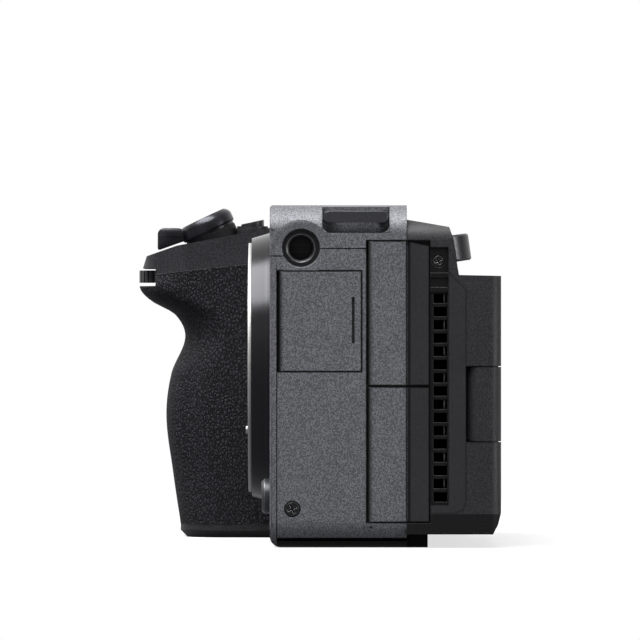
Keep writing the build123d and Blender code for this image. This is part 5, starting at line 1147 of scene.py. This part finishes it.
@dataclass
class ZoomControl:
    """The zoom ring round the shutter button, with a broad chamfer, and the tab that turns it."""

    origin: Point = (-61.1, -28.1, 76.15)
    tilt: float = 25.6
    radius: float = 6.65
    bore: float = 4.9
    depth: float = 3.5
    skirt: float = 4.14
    skirt_step: float = 0.5
    slope: Pair = (1.05, 1.5)
    tab: tuple[Pair, ...] = (
        (-10.9, -7.75), (-10.9, -3.25), (-10.0, -2.35), (-5.5, -2.35), (-4.1, -3.15), (-4.1, -5.35),
        (-6.4, -6.15))
    tab_half: float = 2.6
    tab_edge: float = 0.55
    sharp_angle: float = 24

    def ring(self) -> Shape:
        """Make the ring and lay it on the shutter's tilted axis."""
        radius, (inward, down) = self.radius, self.slope
        profile = (
            (self.bore, -0.2), (self.bore + 0.2, 0.0), (radius - inward - 0.1, 0.0),
            (radius - inward * 0.5, -down * 0.32), (radius - inward * 0.12, -down * 0.72),
            (radius, -down), (radius, -self.depth + 0.35), (radius - 0.25, -self.depth),
            (radius - self.skirt_step, -self.depth), (radius - self.skirt_step, -self.skirt),
            (self.bore, -self.skirt))
        shape = lathe(profile, 96)
        place = Matrix.Translation([part * MM for part in self.origin])
        turned = Matrix.Rotation(math.radians(self.tilt), 4, "X")
        bmesh.ops.transform(shape, matrix=place @ turned, verts=shape.verts)
        return shape

    def lever(self) -> Shape:
        """Make the tab with its edges broken."""
        shape = bmesh.new()
        x, y, z = self.origin
        rims = []
        for side in (-self.tab_half, self.tab_half):
            rim = [((x + side) * MM, (y + out) * MM, (z + up) * MM) for out, up in self.tab]
            rims.append([shape.verts.new(point) for point in rim])
            shape.faces.new(rims[-1])
        join_rims(shape, rims[0], rims[1])
        bmesh.ops.recalc_face_normals(shape, faces=shape.faces)
        edge = self.tab_edge * MM
        bmesh.ops.bevel(
            shape, geom=shape.edges[:], offset=edge, segments=2, profile=0.5, affect="EDGES")
        return shape

    def make(self) -> None:
        """Build the ring and the tab as one piece that turns with the zoom lever."""
        shape = self.ring()
        tab = bpy.data.meshes.new("tab")
        lever = self.lever()
        lever.to_mesh(tab)
        lever.free()
        shape.from_mesh(tab)
        piece = mesh_object("zoom_control", shape, ZOOM_METAL)
        bpy.data.meshes.remove(tab)
        round_off(piece, self.sharp_angle)
        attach(piece, "zoom_lever")
        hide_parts("zoom_lever")


@dataclass
class Assembly:
    """One sub-assembly: its carried pieces with their finishes, and the works on them."""

    name: str
    finishes: dict[str, Surface]
    works: tuple[Work, ...] = ()

    def make(self) -> None:
        """Dress the carried pieces in order, then build the works."""
        for node, finish in self.finishes.items():
            dress(node, finish)
        for work in self.works:
            work.make()
        LOG.info("built the %s", self.name)


def casings() -> Assembly:
    """Return the shells of the block, the rear and the base, with the chassis inside."""
    finishes: dict[str, Surface] = {
        "front_casing": with_painted_seams(BODY_PAINT), "top_cover": with_painted_seams(BODY_PAINT),
        "left_side_panel": with_painted_seams(BODY_PAINT), "base_plate": PAINTED_BASE,
        "rear_casing": SHADED_CHIN_RESIN, "inner_chassis": CAST_ALLOY, "strap_bars": STRAP_STEEL,
        "accessory_shoe": PLAIN_STEEL, "tally_lamp": LAMP_RED, "thread_inserts": THREAD_STEEL,
        "tripod_bush": PLAIN_STEEL}
    return Assembly("casings", finishes, (CrossScrews(), ThreadTurns()))


def port_side() -> Assembly:
    """Return the doors of the port side, the jacks and sockets behind them, and the vent."""
    finishes: dict[str, Surface] = {
        "microphone_door": SHADED_MIC_PAINT, "hdmi_door": SHADED_DOOR_PAINT, "usb_door": SHADED_DOOR_PAINT,
        "audio_jacks": INNER_RESIN, "digital_sockets": PLAIN_STEEL, "vent_grille": VENT_RESIN,
        "vent_plate": STRIP_RESIN}
    return Assembly("port side", finishes, (PortTrim(), VentFins()))


def lens_mount() -> Assembly:
    """Return the bayonet: collar, ring, lock pin, release and contacts, down to the baffle."""
    finishes: dict[str, Surface] = {
        "mount_collar": COLLAR_METAL, "mount_ring": MOUNT_STEEL, "lens_lock_pin": MOUNT_STEEL,
        "lens_release_button": RELEASE_RESIN, "lens_contacts": FLAT_BLACK,
        "light_baffle": FLAT_BLACK}
    return Assembly("lens mount", finishes, (ContactPins(),))


def imaging() -> Assembly:
    """Return the sensor with its glass and frame, the board, and the cooling behind it."""
    finishes: dict[str, Surface] = {
        "image_sensor": SENSOR_FACE, "sensor_filter_glass": CoatedGlass(),
        "stabiliser_frame": CAST_ALLOY, "main_board": BOARD_GREEN, "heat_sink": SINK_ALLOY,
        "fan_frame": INNER_RESIN, "fan_rotor": INNER_RESIN}
    return Assembly("imaging group", finishes)


def hand_grip() -> Assembly:
    """Return the grip with its skin, doors and the controls on its top."""
    finishes: dict[str, Surface] = {
        "grip_cover": GRIP_RUBBER, "grip_core": REAR_RESIN, "grip_top_cover": SHADED_SHELL_PAINT,
        "front_dial": BLACK_ANODISED, "shutter_unit": BASE_RESIN, "zoom_lever": ZOOM_METAL,
        "shutter_button": BUTTON_RESIN, "white_balance_button": BUTTON_RESIN,
        "iso_button": BUTTON_RESIN, "record_button": RECORD_RED, "power_lever": BLACK_ANODISED,
        "battery_door": REAR_RESIN, "battery_latch": STRIP_RESIN, "battery_pack": INNER_RESIN,
        "card_door": REAR_RESIN, "card_slot_unit": INNER_RESIN}
    return Assembly("hand grip", finishes, (GripSkin(), ZoomControl()))


def rear() -> Assembly:
    """Return the swing-out screen with its hinge, and the controls beside it."""
    finishes: dict[str, Surface] = {
        "screen_case": SCREEN_RESIN, "screen_hinge_block": REAR_RESIN, "screen_panel": PANEL_GLASS,
        "hinge_bushes": BUSH_BRASS, "rear_dial": BLACK_ANODISED, "control_wheel": BLACK_ANODISED,
        "wheel_button": BUTTON_RESIN, "menu_button": BUTTON_RESIN, "playback_button": BUTTON_RESIN,
        "function_button": BUTTON_RESIN, "joystick": BUTTON_RESIN}
    return Assembly("rear", finishes, (WheelRidges(),))


@dataclass(frozen=True)
class PaleFloor(Surface):
    """The floor's surface: white to the camera, but for the shadow, and grey to the rest."""

    name: str = "pale floor"
    white: str = "#f4f4f4"
    grey: str = "#56565a"
    white_share: float = 0.7
    gloss_share: float = 0.25
    shadow_reach: float = 0.5
    shadow_core: float = 0.3

    def shader(self, tree: Tree) -> Node:
        """Mix the matt floor with plain white, more of it the farther from the object."""
        sums = "ShaderNodeMath"
        rays = add_node(tree, "ShaderNodeLightPath").outputs
        seen = {0: rays["Is Camera Ray"], 1: rays["Is Transmission Ray"]}
        direct = add_node(tree, sums, {"operation": "MAXIMUM"}, seen)
        dimmed = {"operation": "MULTIPLY", 1: self.gloss_share}
        gloss = add_node(tree, sums, dimmed, {0: rays["Is Glossy Ray"]})
        lit = add_node(tree, sums, {"operation": "MAXIMUM"}, {0: direct, 1: gloss})
        tone = add_node(
            tree, "ShaderNodeMix",
            {"data_type": "RGBA", 6: linear(self.grey), 7: linear(self.white)}, {0: direct})
        coords = add_node(tree, "ShaderNodeTexCoord")
        reach = add_node(
            tree, "ShaderNodeVectorMath", {"operation": "LENGTH"}, {0: coords.outputs["Object"]})
        near, far = self.shadow_reach * self.shadow_core, self.shadow_reach
        share = add_node(
            tree, "ShaderNodeMapRange",
            {"From Min": near, "From Max": far, "To Min": self.white_share}, {"Value": reach})
        part = add_node(tree, sums, {"operation": "MULTIPLY"}, {0: lit, 1: share})
        matt = add_node(tree, "ShaderNodeBsdfDiffuse", {}, {"Color": tone})
        plain = add_node(tree, "ShaderNodeEmission", {"Color": (1, 1, 1, 1), "Strength": 1.0})
        return add_node(tree, "ShaderNodeMixShader", {}, {0: part, 1: matt, 2: plain})


@dataclass(frozen=True)
class Lamp:
    """A soft flat lamp: its place and its breadth and height in metres, and its power in watts."""

    name: str
    place: Point
    size: Pair
    power: float

    def hang(self, aim: Point) -> None:
        """Hang the lamp so that it faces a point."""
        data = bpy.data.lights.new(self.name, "AREA")
        data.shape = "RECTANGLE"
        data.size, data.size_y = self.size
        data.energy = self.power
        lamp = bpy.data.objects.new(self.name, data)
        lamp.location = self.place
        way = Vector(aim) - Vector(self.place)
        lamp.rotation_euler = way.to_track_quat("-Z", "Y").to_euler()
        bpy.context.scene.collection.objects.link(lamp)


@dataclass
class Studio:
    """The camera at the photograph's angle, a pale floor and soft lamps, in metres."""

    distance: float = 1.796
    eye_height: float = 0.0517
    lens: float = 434.5
    floor_half: float = 3.0
    horizon: float = 0.1
    zenith: float = 0.7
    aim: Point = (0.0, 0.0, 0.045)
    lamps: tuple[Lamp, ...] = (
        Lamp("key above", (0.24, -0.3, 0.95), (1.2, 0.6), 29.0),
        Lamp("side fill", (1.1, -0.7, 0.45), (0.9, 0.9), 1.0),
        Lamp("rear edge", (0.5, 1.0, 0.25), (0.22, 0.5), 6.0))

    def camera(self) -> None:
        """Stand the camera square to the port side."""
        data = bpy.data.cameras.new("view")
        data.lens = self.lens
        data.sensor_width = 36.0
        data.clip_end = 20.0
        view = bpy.data.objects.new("view", data)
        view.location = (self.distance, 0.0, self.eye_height)
        view.rotation_euler = (math.pi / 2, 0.0, math.pi / 2)
        bpy.context.scene.collection.objects.link(view)
        bpy.context.scene.camera = view

    def floor(self) -> None:
        """Lay the pale floor under the object."""
        plane = bmesh.new()
        bmesh.ops.create_grid(plane, x_segments=1, y_segments=1, size=self.floor_half)
        ground = mesh_object("floor", plane, PaleFloor())

    def world(self) -> None:
        """Light the scene softly from above, with a white ground behind the object."""
        world = bpy.data.worlds.new("soft box")
        world.use_nodes = True
        bpy.context.scene.world = world
        tree = world.node_tree
        tree.nodes.clear()
        sums = "ShaderNodeMath"
        rays = add_node(tree, "ShaderNodeLightPath").outputs
        coords = add_node(tree, "ShaderNodeTexCoord")
        way = add_node(tree, "ShaderNodeSeparateXYZ", {}, {0: coords.outputs["Generated"]}).outputs
        behind = add_node(
            tree, "ShaderNodeMapRange",
            {"interpolation_type": "SMOOTHSTEP", "From Min": 0.0, "From Max": -0.5},
            {"Value": way["X"]})
        glossy = {0: rays["Is Glossy Ray"], 1: behind}
        gloss = add_node(tree, sums, {"operation": "MULTIPLY"}, glossy)
        seen = {0: rays["Is Camera Ray"], 1: rays["Is Transmission Ray"]}
        direct = add_node(tree, sums, {"operation": "MAXIMUM"}, seen)
        lit = add_node(tree, sums, {"operation": "MAXIMUM"}, {0: direct, 1: gloss})
        level = add_node(
            tree, "ShaderNodeMapRange",
            {"From Min": 0.25, "To Min": self.horizon, "To Max": self.zenith}, {"Value": way["Z"]})
        ground, light = "ShaderNodeBackground", (1, 1, 1, 1)
        soft = add_node(tree, ground, {"Color": light}, {"Strength": level})
        white = add_node(tree, ground, {"Color": light, "Strength": 1.0})
        mixed = add_node(tree, "ShaderNodeMixShader", {}, {0: lit, 1: soft, 2: white})
        add_node(tree, "ShaderNodeOutputWorld", {}, {"Surface": mixed})

    def make(self) -> None:
        """Set up the camera, the floor and the light."""
        bpy.context.scene.view_settings.view_transform = "Standard"
        self.camera()
        self.floor()
        self.world()
        for lamp in self.lamps:
            lamp.hang(self.aim)
        LOG.info("built the studio")


def main() -> None:
    """Build the sub-assemblies in order, then the studio."""
    logging.basicConfig(level=logging.INFO)
    for assembly in (casings(), port_side(), lens_mount(), imaging(), hand_grip(), rear()):
        assembly.make()
    Studio().make()


if __name__ == "__main__":
    main()
